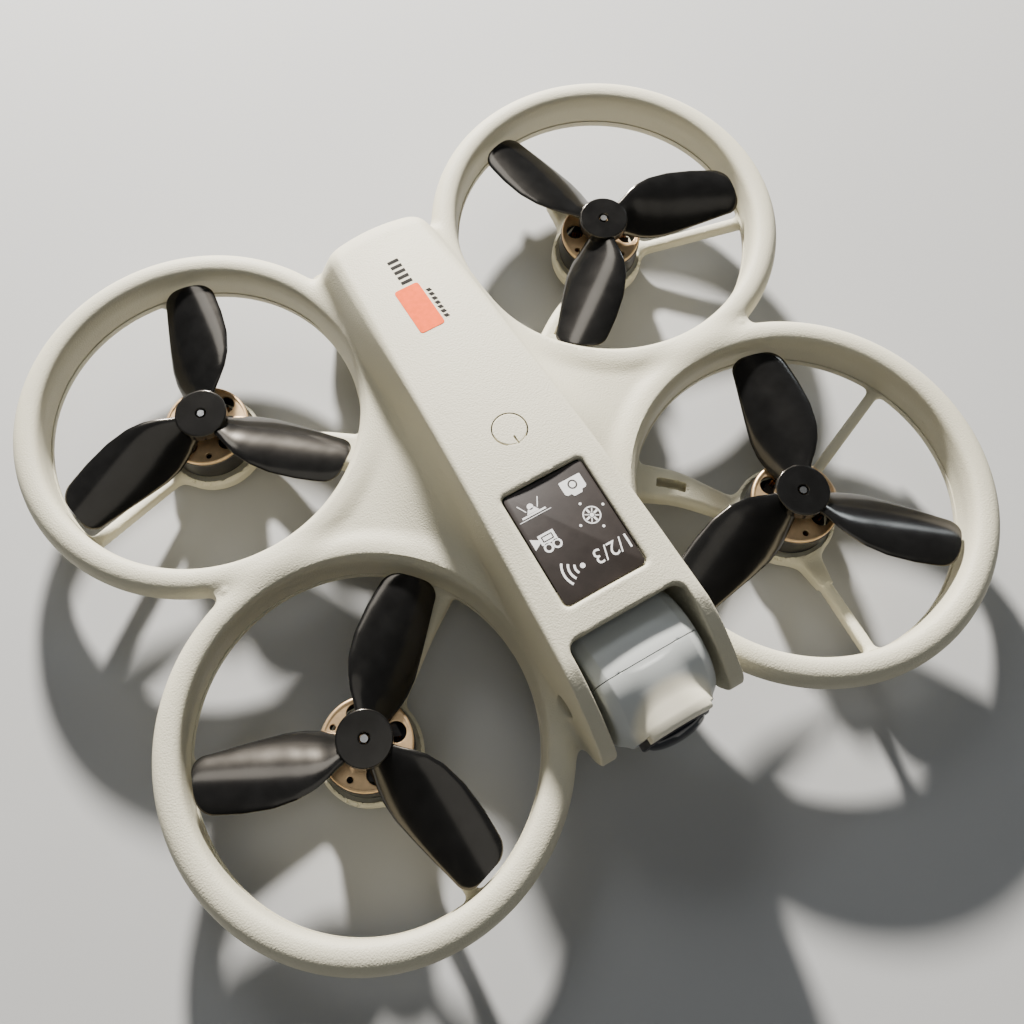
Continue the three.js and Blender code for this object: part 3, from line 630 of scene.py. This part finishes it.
def circles(profile, segments):
    """A ring of points about Z for each (radius, height)."""
    angles = np.linspace(0.0, 2 * math.pi, segments, endpoint=False)
    return [np.stack([r * np.cos(angles), r * np.sin(angles), np.full(segments, h)], 1)
            for r, h in profile]


def turned(profile, segments=64):
    """A profile of (radius, height) turned about Z, bottom centre first; it closes on the axis."""
    return loft(circles(profile, segments))


def washer(profile, segments=64):
    """A closed profile of (radius, height), counter-clockwise, turned about Z."""
    rings = circles(profile, segments)
    return loft(rings + [rings[0]], closed_ends=False)


def moved(part, matrix):
    vertices, faces = part
    turn = np.array(matrix.to_3x3())
    return np.asarray(vertices) @ turn.T + np.array(matrix.translation), faces


def rounded_outline(x0, x1, y0, y1, r, steps=6):
    points = []
    centres = ((x1 - r, y1 - r, 0), (x0 + r, y1 - r, 90), (x0 + r, y0 + r, 180), (x1 - r, y0 + r, 270))
    for cx, cy, start in centres:
        for i in range(steps + 1):
            angle = math.radians(start + 90 * i / steps)
            points.append((cx + r * math.cos(angle), cy + r * math.sin(angle)))
    return points


def slab(x0, x1, y0, y1, z0, z1, corner=0.5, edge=0.2):
    """A plate with rounded corners and softened edges."""
    rings = []
    for inset, z in ((edge, z0), (0, z0 + edge), (0, z1 - edge), (edge * 0.3, z1 - edge * 0.3), (edge, z1)):
        points = rounded_outline(x0 + inset, x1 - inset, y0 + inset, y1 - inset, max(corner - inset, 0.05))
        rings.append(np.array([(x, y, z) for x, y in points]))
    return loft(rings)


FORWARD = Matrix.Translation((0, 0, CAMERA_Z)) @ Matrix.Rotation(math.radians(90), 4, "X")


def turned_about_z(degrees):
    return Matrix.Rotation(math.radians(degrees), 4, "Z")


def rotor_place(name, turn=0.0):
    side, end = ROTORS[name]
    return Matrix.Translation((side * ROTOR_X, end * ROTOR_Y, 0)) @ turned_about_z(turn)


# ---- propellers and motors ----

HUB_R, HUB_TOP = 5.5, 21.7
BELL_R, BELL_TOP, BELL_BOTTOM = 9.3, 15.4, 8.0
BLADE_TIP, BLADE_CORNER = 32.75, 2.8
# (spin, angle of the first blade, angle of the first bell opening)
ROTOR_TURNS = {
    "front_left": (-1, 70.5, 26.0), "front_right": (1, 46.5, -8.0),
    "rear_left": (1, -11.0, 55.0), "rear_right": (-1, 72.0, 25.0),
}
# chord, pitch and sweep of a blade at distances from the axis
BLADE_R = (3.5, 6.0, 8.0, 10.5, 14.0, 19.0, 24.5, 28.5, 33.0)
BLADE_CHORD = (5.4, 7.6, 9.6, 11.6, 13.1, 13.4, 12.6, 11.6, 10.4)
BLADE_PITCH = (36.0, 34.0, 32.0, 29.0, 25.0, 20.0, 16.0, 13.5, 11.0)
BLADE_SWEEP = (0.0, 0.1, 0.3, 0.5, 0.7, 0.8, 0.5, 0.1, -0.5)


def blade_mesh(spin):
    """One blade lying along +X."""
    near_tip = BLADE_TIP - 4.6 * np.linspace(1, 0, 16)[1:] ** 1.8
    stations = np.concatenate([np.linspace(3.6, 28.0, 30), near_tip])
    turn = np.linspace(0.0, 2 * math.pi, 36, endpoint=False)
    rings = []
    for r in stations:
        chord = np.interp(r, BLADE_R, BLADE_CHORD)
        into_corner = max(0.0, r - (BLADE_TIP - BLADE_CORNER))
        rounding = math.sqrt(max(0.0, BLADE_CORNER**2 - into_corner**2))
        half = chord / 2 - BLADE_CORNER + rounding + 0.05
        pitch = math.radians(np.interp(r, BLADE_R, BLADE_PITCH))
        thick = np.interp(r, (3.5, 8.0, 33.0), (2.4, 1.5, 0.75)) / 2
        across = half * np.cos(turn)
        camber = 1.15 * (chord / 13.0) * (1.0 - (across / (chord / 2)) ** 2)
        lift = camber + thick * np.sign(np.sin(turn)) * np.abs(np.sin(turn)) ** 0.8
        sweep = np.interp(r, BLADE_R, BLADE_SWEEP)
        rise = across * math.tan(pitch) * 0.9 + lift
        rings.append(np.stack([np.full(len(turn), r), spin * (across + sweep), RING_Z - 1.3 + rise], 1))
    vertices, faces = loft(rings)
    if spin < 0:
        faces = [tuple(reversed(face)) for face in faces]
    return vertices, faces


def hub_mesh():
    return washer([
        (1.05, 20.6), (2.3, 15.7), (2.5, 15.9), (2.5, 18.6), (4.9, 18.9), (HUB_R, 19.4),
        (HUB_R, HUB_TOP - 0.4), (HUB_R, HUB_TOP - 0.25), (HUB_R - 0.08, HUB_TOP - 0.08),
        (HUB_R - 0.25, HUB_TOP), (HUB_R - 0.4, HUB_TOP), (1.4, HUB_TOP), (1.25, HUB_TOP),
        (1.05, HUB_TOP - 0.25),
    ])


def bell_field(x, y, z):
    r = np.hypot(x, y)
    cap = rounded_rectangle_field(r, z, -9.15, 9.15, 14.2, BELL_TOP, 0.45)
    quarter = np.mod(np.arctan2(y, x) + math.pi / 4, math.pi / 2) - math.pi / 4
    large = np.hypot(r * np.cos(quarter) - 6.0, r * np.sin(quarter)) - 2.05
    eighth = np.mod(np.arctan2(y, x), math.pi / 2) - math.pi / 4
    small = np.hypot(r * np.cos(eighth) - 7.3, r * np.sin(eighth)) - 0.62
    cap = smooth_max(cap, -np.minimum(np.minimum(large, small), r - 1.05), 0.25)
    # a shallow turned step sets off the rim
    step = np.maximum(np.maximum(r - 8.5, 3.2 - r), BELL_TOP - 0.22 - z)
    return smooth_max(cap, -step, 0.1)


def flux_ring_mesh():
    return washer([
        (8.5, BELL_BOTTOM + 0.2), (8.7, BELL_BOTTOM), (9.1, BELL_BOTTOM), (BELL_R, BELL_BOTTOM + 0.2),
        (BELL_R, 14.3), (9.15, 14.5), (8.5, 14.5),
    ])


def winding_mesh():
    """Nine copper coils on the stator's teeth."""
    coils = []
    for i in range(9):
        for k in range(5):
            inner = 3.9 + 0.54 * k
            half = 0.75 + 0.22 * k
            rings = []
            for inset, z in ((0.18, 8.1), (0, 8.3), (0, 12.6), (0.18, 12.8)):
                rings.append(np.array([
                    (x, y, z) for x, y in rounded_outline(inner + inset / 2, inner + 0.5 - inset / 2,
                                                          -half + inset, half - inset, 0.12, 2)]))
            coils.append(moved(loft(rings), turned_about_z(40 * i)))
    return joined(*coils)


bell_axis = grid_line(-9.6, 9.6, 0.15)
bell_mesh = contour(bell_field, bell_axis, bell_axis, grid_line(13.9, 15.8, 0.1))
for rotor, (spin, rest, opening) in ROTOR_TURNS.items():
    blades = [moved(blade_mesh(spin), turned_about_z(turn)) for turn in (0, 120, 240)]
    prop_mesh = moved(joined(hub_mesh(), *blades), rotor_place(rotor, rest))
    prop = new_object(f"prop_{rotor}", *prop_mesh, PROP, 40)
    fit(prop, f"rotor_{rotor}", "prop_plastic", f"propeller_{rotor}")
    cap = new_object(f"bell_cap_{rotor}", *moved(bell_mesh, rotor_place(rotor, opening)), GOLD)
    fit(cap, f"rotor_{rotor}", "motor_gold", f"motor_bell_{rotor}")
    ring = new_object(f"flux_ring_{rotor}", *moved(flux_ring_mesh(), rotor_place(rotor)), IRON)
    fit(ring, f"rotor_{rotor}", "iron_stack")
    coils = new_object(f"windings_{rotor}", *moved(winding_mesh(), rotor_place(rotor)), COPPER)
    fit(coils, "airframe", "iron_stack")
    foot = turned([(0, 0), (3.0, 0), (3.5, 0.25), (3.85, 0.8), (4.0, 2.7), (0, 2.7)], 48)
    pad = new_object(f"pad_{rotor}", *moved(foot, rotor_place(rotor)), RUBBER)
    fit(pad, "airframe", "rubber", f"foot_{rotor}")


# ---- camera ----

SEAM_Y, SEAM_GAP = CAMERA_Y - 1.1, 0.07
DRUM_R, DRUM_HALF = 12.6, 10.8
HOOD_HALF, HOOD_START = 6.35, 5.6


def camera_field(x, y, z):
    """Drum and snout of the camera as one thin-walled body."""
    dy, dz = y - CAMERA_Y, z - CAMERA_Z
    drum_r = DRUM_R - 0.7 * (x / DRUM_HALF) ** 2 - 0.55 * np.maximum(0.0, np.abs(x) - 8.5)
    drum = smooth_max(np.hypot(dy, dz) - drum_r, np.abs(x) - DRUM_HALF, 0.8)
    rho, out = np.hypot(x, dz), -dy
    # the hood flattens from the drum to its front edge, where it dips; below, the snout is round
    forward = np.clip((out - HOOD_START) / 8.7, 0.0, 1.0)
    power = np.where(dz > 0, 2.4 + 1.1 * forward, 2.0)
    dip = 0.15 * (out - HOOD_START) + 0.14 * np.maximum(0.0, out - 11.6) ** 1.5
    tall = np.where(dz > 0, 11.2 - dip, 8.0)
    wide = 8.2
    snout = ((np.abs(x) / wide) ** power + (np.abs(dz) / tall) ** power) ** (1 / power) * wide - wide
    snout = smooth_max(np.maximum(snout, 3.0 - out), out - 13.7, 0.6)
    body = smooth_min(drum, snout, 1.4)
    below_hood = np.minimum(out - 12.5, np.maximum(np.abs(x) - HOOD_HALF, 4.6 - dz))
    body = np.maximum(body, below_hood)
    inside = np.maximum(np.hypot(dy, dz) - drum_r + 1.5, np.abs(x) - 9.3)
    bore = np.maximum(rho - 7.3, 2.0 - out)
    ends = np.maximum(np.hypot(dy, dz) - np.where(x > 0, 5.6, 1.9), 5.0 - np.abs(x))
    return np.maximum(body, -np.minimum(np.minimum(inside, bore), ends))


camera_grid = (grid_line(-11.4, 11.4, 0.3), grid_line(-67.2, -38.8, 0.3), grid_line(12.8, 39.2, 0.3))
front = contour(
    lambda x, y, z: smooth_max(camera_field(x, y, z), y - SEAM_Y + SEAM_GAP, 0.15), *camera_grid)
rear = contour(
    lambda x, y, z: smooth_max(camera_field(x, y, z), SEAM_Y + SEAM_GAP - y, 0.15), *camera_grid)
fit(new_object("camera_face", *front, CAMERA_FACE_PAINTED_LIGHT), "camera", "camera_plastic", "camera_front_shell")
fit(new_object("camera_back", *rear, CAMERA_SHELL), "camera", "camera_plastic", "camera_rear_shell")

bezel = washer([
    (3.4, 56.5), (7.0, 56.5), (7.0, 62.0), (7.2, 63.4), (7.25, 65.6), (7.0, 65.9), (6.3, 65.9), (6.2, 65.4),
    (5.6, 63.2), (4.4, 62.4), (3.4, 62.0),
])
fit(new_object("lens_ring", *moved(bezel, FORWARD), DARK), "camera", "dark_plastic", "lens_barrel")
dome = turned([(0, 64.4), (4.6, 64.4), (5.9, 65.2), (6.15, 65.5)]
              + [(6.15 * math.cos(math.radians(a)), 65.6 + 2.05 * math.sin(math.radians(a)))
                 for a in (6, 14, 22, 30, 38, 46, 54, 62, 70, 78, 84)] + [(0, 67.65)])
fit(new_object("lens_dome", *moved(dome, FORWARD), GLASS), "camera", "lens_glass", "lens_glass")


# ---- roof panel with its icons ----

PANEL_TOP = ROOF_Z - 0.12
ICON_LOW, ICON_HIGH = PANEL_TOP - 0.02, PANEL_TOP + 0.04
panel = slab(-8.55, 8.55, -38.95, -15.75, ROOF_Z - 0.7, PANEL_TOP, corner=1.1, edge=0.1)
fit(new_object("roof_panel", *panel, PANEL), "airframe", "panel_plastic", "display_panel")


def flat(points):
    """A thin raised shape with this outline."""
    return loft([np.array([(x, y, z) for x, y in points]) for z in (ICON_LOW, ICON_HIGH)])


def flat_band(inner, outer):
    """A thin raised shape between two outlines with the same number of points."""
    rings = [np.column_stack([points, np.full(len(points), z)]) for points, z in (
        (inner, ICON_LOW), (outer, ICON_LOW), (outer, ICON_HIGH), (inner, ICON_HIGH))]
    return loft(rings + [rings[0]], closed_ends=False)


def round_flat(cx, cy, r, hole=0.0, steps=28):
    """A disc, or a ring if it has a hole."""
    angles = np.linspace(0, 2 * math.pi, steps, endpoint=False)
    if not hole:
        return flat([(cx + r * math.cos(a), cy + r * math.sin(a)) for a in angles])
    return flat_band(*[np.stack([cx + radius * np.cos(angles), cy + radius * np.sin(angles)], 1)
                       for radius in (hole, r)])


def stroke(x0, y0, x1, y1, width):
    dx, dy = x1 - x0, y1 - y0
    length = math.hypot(dx, dy)
    nx, ny = -dy / length * width / 2, dx / length * width / 2
    return flat([(x0 - nx, y0 - ny), (x1 - nx, y1 - ny), (x1 + nx, y1 + ny), (x0 + nx, y0 + ny)])


def icon(cx, cy, parts, turn=180.0):
    """Shapes drawn about (0, 0), set down at (cx, cy) and turned; at 180 they read from the nose."""
    return moved(joined(*parts), Matrix.Translation((cx, cy, 0)) @ turned_about_z(turn))


def photo_camera():
    body = [(-2.3, -1.7), (2.3, -1.7), (2.3, 0.9), (1.9, 1.3), (1.1, 1.3), (0.8, 1.9), (-0.9, 1.9),
            (-1.2, 1.3), (-2.0, 1.3), (-2.3, 0.9)]
    angles = np.linspace(0, 2 * math.pi, 24, endpoint=False)
    hole = [(0.95 * math.cos(a), -0.3 + 0.95 * math.sin(a)) for a in angles]
    return [plate_with_hole(body, hole), round_flat(0, -0.3, 0.62)]


def plate_with_hole(outer, hole):
    """A flat shape with one hole, as a band between the two outlines."""
    cx, cy = np.mean(hole, axis=0)
    rays = np.linspace(0, 2 * math.pi, 72, endpoint=False)
    edges = []
    for loop in (hole, outer):
        reach = [ray_to_outline(cx, cy, ray, loop) for ray in rays]
        edges.append([(cx + d * math.cos(a), cy + d * math.sin(a)) for d, a in zip(reach, rays)])
    return flat_band(*[np.array(edge) for edge in edges])


def ray_to_outline(cx, cy, angle, loop):
    """Distance from (cx, cy) along a ray to the outline around it."""
    dx, dy = math.cos(angle), math.sin(angle)
    best = 1e9
    for (x0, y0), (x1, y1) in zip(loop, list(loop[1:]) + [loop[0]]):
        ex, ey = x1 - x0, y1 - y0
        cross = dx * ey - dy * ex
        if abs(cross) < 1e-9:
            continue
        t = ((x0 - cx) * ey - (y0 - cy) * ex) / cross
        s = ((x0 - cx) * dy - (y0 - cy) * dx) / cross
        if t > 0 and -1e-6 <= s <= 1 + 1e-6:
            best = min(best, t)
    return best


def video_camera():
    body = [(-1.2, -1.1), (2.1, -1.1), (2.1, 1.0), (-1.2, 1.0)]
    window = [(-0.7, -0.65), (1.6, -0.65), (1.6, 0.55), (-0.7, 0.55)]
    screen = [(-0.45, -0.42), (1.35, -0.42), (1.35, 0.32), (-0.45, 0.32)]
    horn = [(2.1, 0.3), (2.1, -0.35), (3.6, -1.2), (3.6, 1.15)]
    return [plate_with_hole(body, window), flat(screen), flat(horn),
            round_flat(-0.6, 1.75, 0.95, 0.55), round_flat(1.2, 1.75, 0.95, 0.55)]


def small_copter():
    return [round_flat(0, 0.75, 0.62), flat([(-1.3, -0.5), (1.3, -0.5), (0.7, 0.4), (-0.7, 0.4)]),
            stroke(-2.5, -0.75, 2.5, -0.75, 0.38), stroke(-3.3, -1.3, 3.3, -1.3, 0.14),
            stroke(-1.2, 0.1, -2.2, 1.9, 0.2), stroke(1.2, 0.1, 2.2, 1.9, 0.2)]


def dial():
    parts = [round_flat(0, 0, 1.75, 1.5), round_flat(0, 0, 0.42)]
    for a in range(0, 360, 45):
        c, s = math.cos(math.radians(a)), math.sin(math.radians(a))
        parts.append(stroke(0.55 * c, 0.55 * s, 1.4 * c, 1.4 * s, 0.42 if a % 90 else 0.2))
    for a in (45, 135, 225, 315):
        c, s = math.cos(math.radians(a)), math.sin(math.radians(a))
        parts.append(round_flat(3.0 * c, 3.0 * s, 0.28, steps=12))
    return parts


def waves():
    """Three curved bars spreading from a dot."""
    parts = [round_flat(-2.6, 0, 0.5, steps=16)]
    for r in (1.5, 2.7, 3.9):
        angles = np.radians(np.linspace(-34, 34, 13))
        band = [(-2.6 + (r + 0.22) * math.cos(a), (r + 0.22) * math.sin(a)) for a in angles]
        band += [(-2.6 + (r - 0.22) * math.cos(a), (r - 0.22) * math.sin(a)) for a in angles[::-1]]
        parts.append(flat(band))
    return parts


def digits(text, cx, cy, height):
    """Numbers in Blender's own plain typeface, as a flat mesh."""
    curve = bpy.data.curves.new("digits", "FONT")
    curve.body, curve.size = text, height * 1.4
    curve.align_x, curve.align_y = "CENTER", "CENTER"
    curve.extrude = 0.03
    probe = bpy.data.objects.new("digits", curve)
    bpy.context.scene.collection.objects.link(probe)
    evaluated = probe.evaluated_get(bpy.context.evaluated_depsgraph_get())
    mesh = evaluated.to_mesh()
    vertices = np.array([v.co[:] for v in mesh.vertices])
    faces = [tuple(p.vertices) for p in mesh.polygons]
    evaluated.to_mesh_clear()
    bpy.data.objects.remove(probe)
    bpy.data.curves.remove(curve)
    place = Matrix.Translation((cx, cy, PANEL_TOP + 0.01)) @ Matrix.Rotation(math.pi, 4, "Z")
    return moved((vertices, faces), place)


icons = joined(
    icon(4.6, -19.8, photo_camera()),
    icon(-4.6, -20.2, small_copter(), 0.0),
    icon(-4.4, -26.2, video_camera()),
    icon(4.6, -26.4, dial(), 150.0),
    icon(-4.6, -33.8, waves()),
    digits("1/2/3", 4.6, -33.6, 2.9),
)
fit(new_object("panel_icons", *icons, WHITE_INK), "airframe", None)


# ---- power button ----


def cap_field(x, y, z):
    r = np.hypot(x, y - BUTTON_Y)
    top = roof_surface(x, y) - 0.02
    cap = smooth_max(np.maximum(r - 3.36, 38.6 - z), z - top, 0.25)
    mark = np.maximum(np.maximum(np.abs(x) - 0.2, np.abs(y - BUTTON_MARK_Y) - 0.95), top - 0.45 - z)
    return np.maximum(cap, -mark)


cap_grid = (grid_line(-3.7, 3.7, 0.1), grid_line(-7.7, -0.3, 0.1), grid_line(38.2, 42.4, 0.2))
cap_mesh = contour(cap_field, *cap_grid)
fit(new_object("button_cap", *cap_mesh, SHELL), "power_button", "shell_plastic", "power_button")


# ---- plain printed shapes on the rear of the roof ----


def on_shell(x, y):
    """Height of the roof at each (x, y)."""
    low, high = np.full(len(x), 20.0), np.full(len(x), 45.0)
    for _ in range(30):
        middle = (low + high) / 2
        inside = hull_field(x, y, middle) < 0
        low, high = np.where(inside, middle, low), np.where(inside, high, middle)
    return (low + high) / 2


def draped(outline_points, lift=0.09):
    """A paper-thin print that follows the roof, standing `lift` proud of it."""
    mesh = bmesh.new()
    mesh.faces.new([mesh.verts.new((x, y, 0)) for x, y in outline_points])
    xs, ys = zip(*outline_points)
    for axis, low, high in (((1, 0, 0), min(xs), max(xs)), ((0, 1, 0), min(ys), max(ys))):
        for cut in np.arange(low + 0.7, high, 0.7):
            bmesh.ops.bisect_plane(mesh, geom=mesh.verts[:] + mesh.edges[:] + mesh.faces[:],
                                   plane_co=[cut * a for a in axis], plane_no=axis)
    mesh.verts.index_update()
    flat_points = np.array([v.co[:2] for v in mesh.verts])
    heights = on_shell(flat_points[:, 0], flat_points[:, 1])
    top = np.column_stack([flat_points, heights + lift])
    below = np.column_stack([flat_points, heights - 0.03])
    faces = [tuple(v.index for v in face.verts) for face in mesh.faces]
    rim = [tuple(v.index for v in (edge.link_loops[0].vert, edge.link_loops[0].link_loop_next.vert))
           for edge in mesh.edges if len(edge.link_faces) == 1]
    count = len(top)
    walls = [(b, a, a + count, b + count) for a, b in rim]
    under = [tuple(i + count for i in reversed(face)) for face in faces]
    mesh.normal_update()
    upward = next(iter(mesh.faces)).normal.z > 0
    mesh.free()
    faces = faces + under + walls
    if not upward:
        faces = [tuple(reversed(face)) for face in faces]
    return np.vstack([top, below]), faces


def stripe(x0, x1, y0, y1, lean=0.0):
    return [(x0 + lean, y0), (x1 + lean, y0), (x1, y1), (x0, y1)]


coral_block = rounded_outline(-4.1, 1.5, 24.3, 36.7, 0.7)
fit(new_object("coral_print", *draped(coral_block), CORAL), "airframe", None)
dark_marks = [stripe(-1.6, 0.9, y, y + 0.8) for y in (37.6, 39.2, 40.8, 42.4, 44.0)]
dark_marks += [stripe(2.0, 2.9, y, y + 0.75, 0.25) for y in (25.4, 26.7, 28.0, 29.3, 30.6, 31.9, 33.2)]
fit(new_object("dark_print", *joined(*[draped(mark) for mark in dark_marks]), INK), "airframe", None)


# ---- battery, latches and tail light ----


def battery_field(x, y, z):
    ax = np.abs(x)
    pack = box_field(x, y, z, (-10.2, -6.0, 5.4), (10.2, 59.2, 17.4), 1.1)
    grip = box_field(x, y, z, (-5.0, 56.0, 9.4), (5.0, 61.2, 12.6), 0.7)
    ribs = np.maximum(np.abs(np.mod(x + 0.8, 1.6) - 0.8) - 0.3, 60.9 - y)
    pack = smooth_min(pack, smooth_max(grip, -ribs, 0.2), 0.6)
    pocket = np.maximum(np.maximum(7.6 - ax, 48.3 - y), np.abs(z - BATTERY_Z) - 3.3)
    pack = smooth_max(pack, -pocket, 0.25)
    # the end cap meets the wrapped cells at a fine groove
    groove = np.maximum(np.abs(y - 45.0) - 0.22, -(pack + 0.25))
    return np.maximum(pack, -groove)


battery_grid = (half_line(11.0, 0.4), grid_line(-7.0, 62.4, 0.4, [(44, 46, 0.12)]),
                grid_line(4.8, 18.2, 0.35))
battery_mesh = mirrored_contour(battery_field, *battery_grid)
fit(new_object("battery_case", *battery_mesh, DARK), "battery", "dark_plastic", "battery_pack")

LATCH_PLAN = [(9.2, 48.9), (9.85, 48.9), (9.85, 59.9), (9.4, 62.5), (8.7, 62.5), (9.1, 59.5)]


def latch_field(x, y, z):
    body = polygon_field(x, y, LATCH_PLAN) - 0.28
    body = smooth_max(body, np.abs(z - BATTERY_Z) - 3.0, 0.4)
    rib = np.maximum(np.abs(np.mod(y, 0.9) - 0.45) - 0.18, 58.4 - y)
    return smooth_max(body, -np.maximum(rib, 9.72 - x), 0.1)


latch_grid = (grid_line(8.0, 10.6, 0.13), grid_line(48.2, 63.3, 0.15), grid_line(7.6, 14.4, 0.25))
latch_mesh = contour(latch_field, *latch_grid)
fit(new_object("latch_l", *latch_mesh, DARK), "latch_left", "dark_plastic", "battery_latch_left")
other_latch = latch_mesh[0] * np.array([-1.0, 1.0, 1.0]), latch_mesh[1][:, ::-1]
fit(new_object("latch_r", *other_latch, DARK), "latch_right", "dark_plastic", "battery_latch_right")


def lamp_field(x, y, z):
    lamp = box_field(x, y, z, (-4.0, 54.6, 23.0), (4.0, 70.0, 26.0), 0.5)
    ribs = 0.12 * np.cos(x * 2 * math.pi / 0.8)
    face = y - (tail_face(z) - 0.012 * x**2 - 0.35) - ribs
    return smooth_max(lamp, face, 0.4)


lamp_grid = (grid_line(-4.4, 4.4, 0.1), grid_line(54.2, 59.6, 0.2), grid_line(22.6, 26.4, 0.2))
lamp_mesh = contour(lamp_field, *lamp_grid)
fit(new_object("tail_lamp", *lamp_mesh, LAMP), "airframe", "lamp_red", "tail_light")


# ---- belly: sensor window and screws ----

sensor_profile = [(0, 2.75), (3.3, 2.75), (3.55, 2.6), (3.8, 2.65), (4.0, 3.0), (4.0, 8.0), (0, 8.0)]
sensor_glass = moved(turned(sensor_profile), Matrix.Translation((0, SENSOR_Y, 0)))
fit(new_object("sensor_window", *sensor_glass, GLASS), "airframe", "lens_glass", "flow_sensor")
eyes = [moved(washer([(0.7, 2.78), (0.75, 2.5), (0.95, 2.4), (1.15, 2.5), (1.2, 2.78)], 32),
              Matrix.Translation((x, SENSOR_Y, 0))) for x in (-1.55, 1.55)]
fit(new_object("sensor_eyes", *joined(*eyes), DARK), "airframe", "dark_plastic")


def screw_field(x, y, z):
    r = np.hypot(x, y)
    head = rounded_rectangle_field(r, z, -1.7, 1.7, 1.6, 2.9, 0.3)
    shank = np.maximum(r - 0.9, np.maximum(2.0 - z, z - 9.0))
    cross = np.minimum(np.abs(x), np.abs(y)) - 0.24
    recess = np.maximum(np.maximum(cross, r - 1.05), z - 2.3)
    return np.maximum(np.minimum(head, shank), -recess)


screw_axis = grid_line(-1.95, 1.95, 0.12)
screw_mesh = contour(screw_field, screw_axis, screw_axis, grid_line(1.3, 9.3, 0.15))
screw_places = [(x, y) for y in SCREW_YS for x in (-SCREW_X, SCREW_X)]
for i, (x, y) in enumerate(screw_places, 1):
    screw = new_object(f"screw_{i}", *moved(screw_mesh, Matrix.Translation((x, y, 0))), STEEL)
    fit(screw, "airframe", "steel", f"belly_screw_{i}")


# ---- floor, lights and camera ----

floor_mesh = bpy.data.meshes.new("floor")
floor_mesh.from_pydata([(-4, -4, 0), (4, -4, 0), (4, 4, 0), (-4, 4, 0)], [], [(0, 1, 2, 3)])
floor = bpy.data.objects.new("floor", floor_mesh)
bpy.context.scene.collection.objects.link(floor)
floor_mesh.materials.append(procedural("floor", (0.44, 0.44, 0.43), 0.8, spread=0.01, patch=3.0))


LIGHT_AIM = Vector((0, 0, 0.02))


def area_light(name, place, size, power, color):
    light = bpy.data.lights.new(name, "AREA")
    light.shape = "DISK"
    light.size, light.energy, light.color = size, power, color
    lamp = bpy.data.objects.new(name, light)
    bpy.context.scene.collection.objects.link(lamp)
    direction = LIGHT_AIM - Vector(place)
    lamp.matrix_world = Matrix.Translation(place) @ direction.to_track_quat("-Z", "Y").to_matrix().to_4x4()


area_light("key", (0.22, 0.77, 0.425), 0.08, 39.0, (1.0, 0.965, 0.92))
area_light("sky", (-0.05, -0.35, 1.4), 1.2, 2.7, (0.95, 0.98, 1.0))
area_light("side", (-0.95, 0.25, 0.30), 0.4, 0.2, (1.0, 0.98, 0.95))
area_light("back", (0.04, 0.75, 0.85), 0.35, 1.5, (0.96, 0.98, 1.0))
area_light("streak", (0.78, 0.34, 0.45), 0.12, 0.6, (0.75, 0.87, 1.0))

world = bpy.data.worlds.new("studio")
world.use_nodes = True
world.node_tree.nodes["Background"].inputs["Color"].default_value = (0.92, 0.95, 1.0, 1.0)
world.node_tree.nodes["Background"].inputs["Strength"].default_value = 0.06
bpy.context.scene.world = world

camera_lens = bpy.data.cameras.new("view")
camera_lens.lens, camera_lens.sensor_width = 39.56, 36.0
camera_lens.shift_x, camera_lens.shift_y = 0.0564, -0.1185
camera_lens.clip_start, camera_lens.clip_end = 0.01, 20.0
camera = bpy.data.objects.new("view", camera_lens)
camera.location = (-0.04974, -0.07487, 0.23949)
camera.rotation_euler = [math.radians(angle) for angle in (25.417, 0.4415, -29.036)]
bpy.context.scene.collection.objects.link(camera)
bpy.context.scene.camera = camera
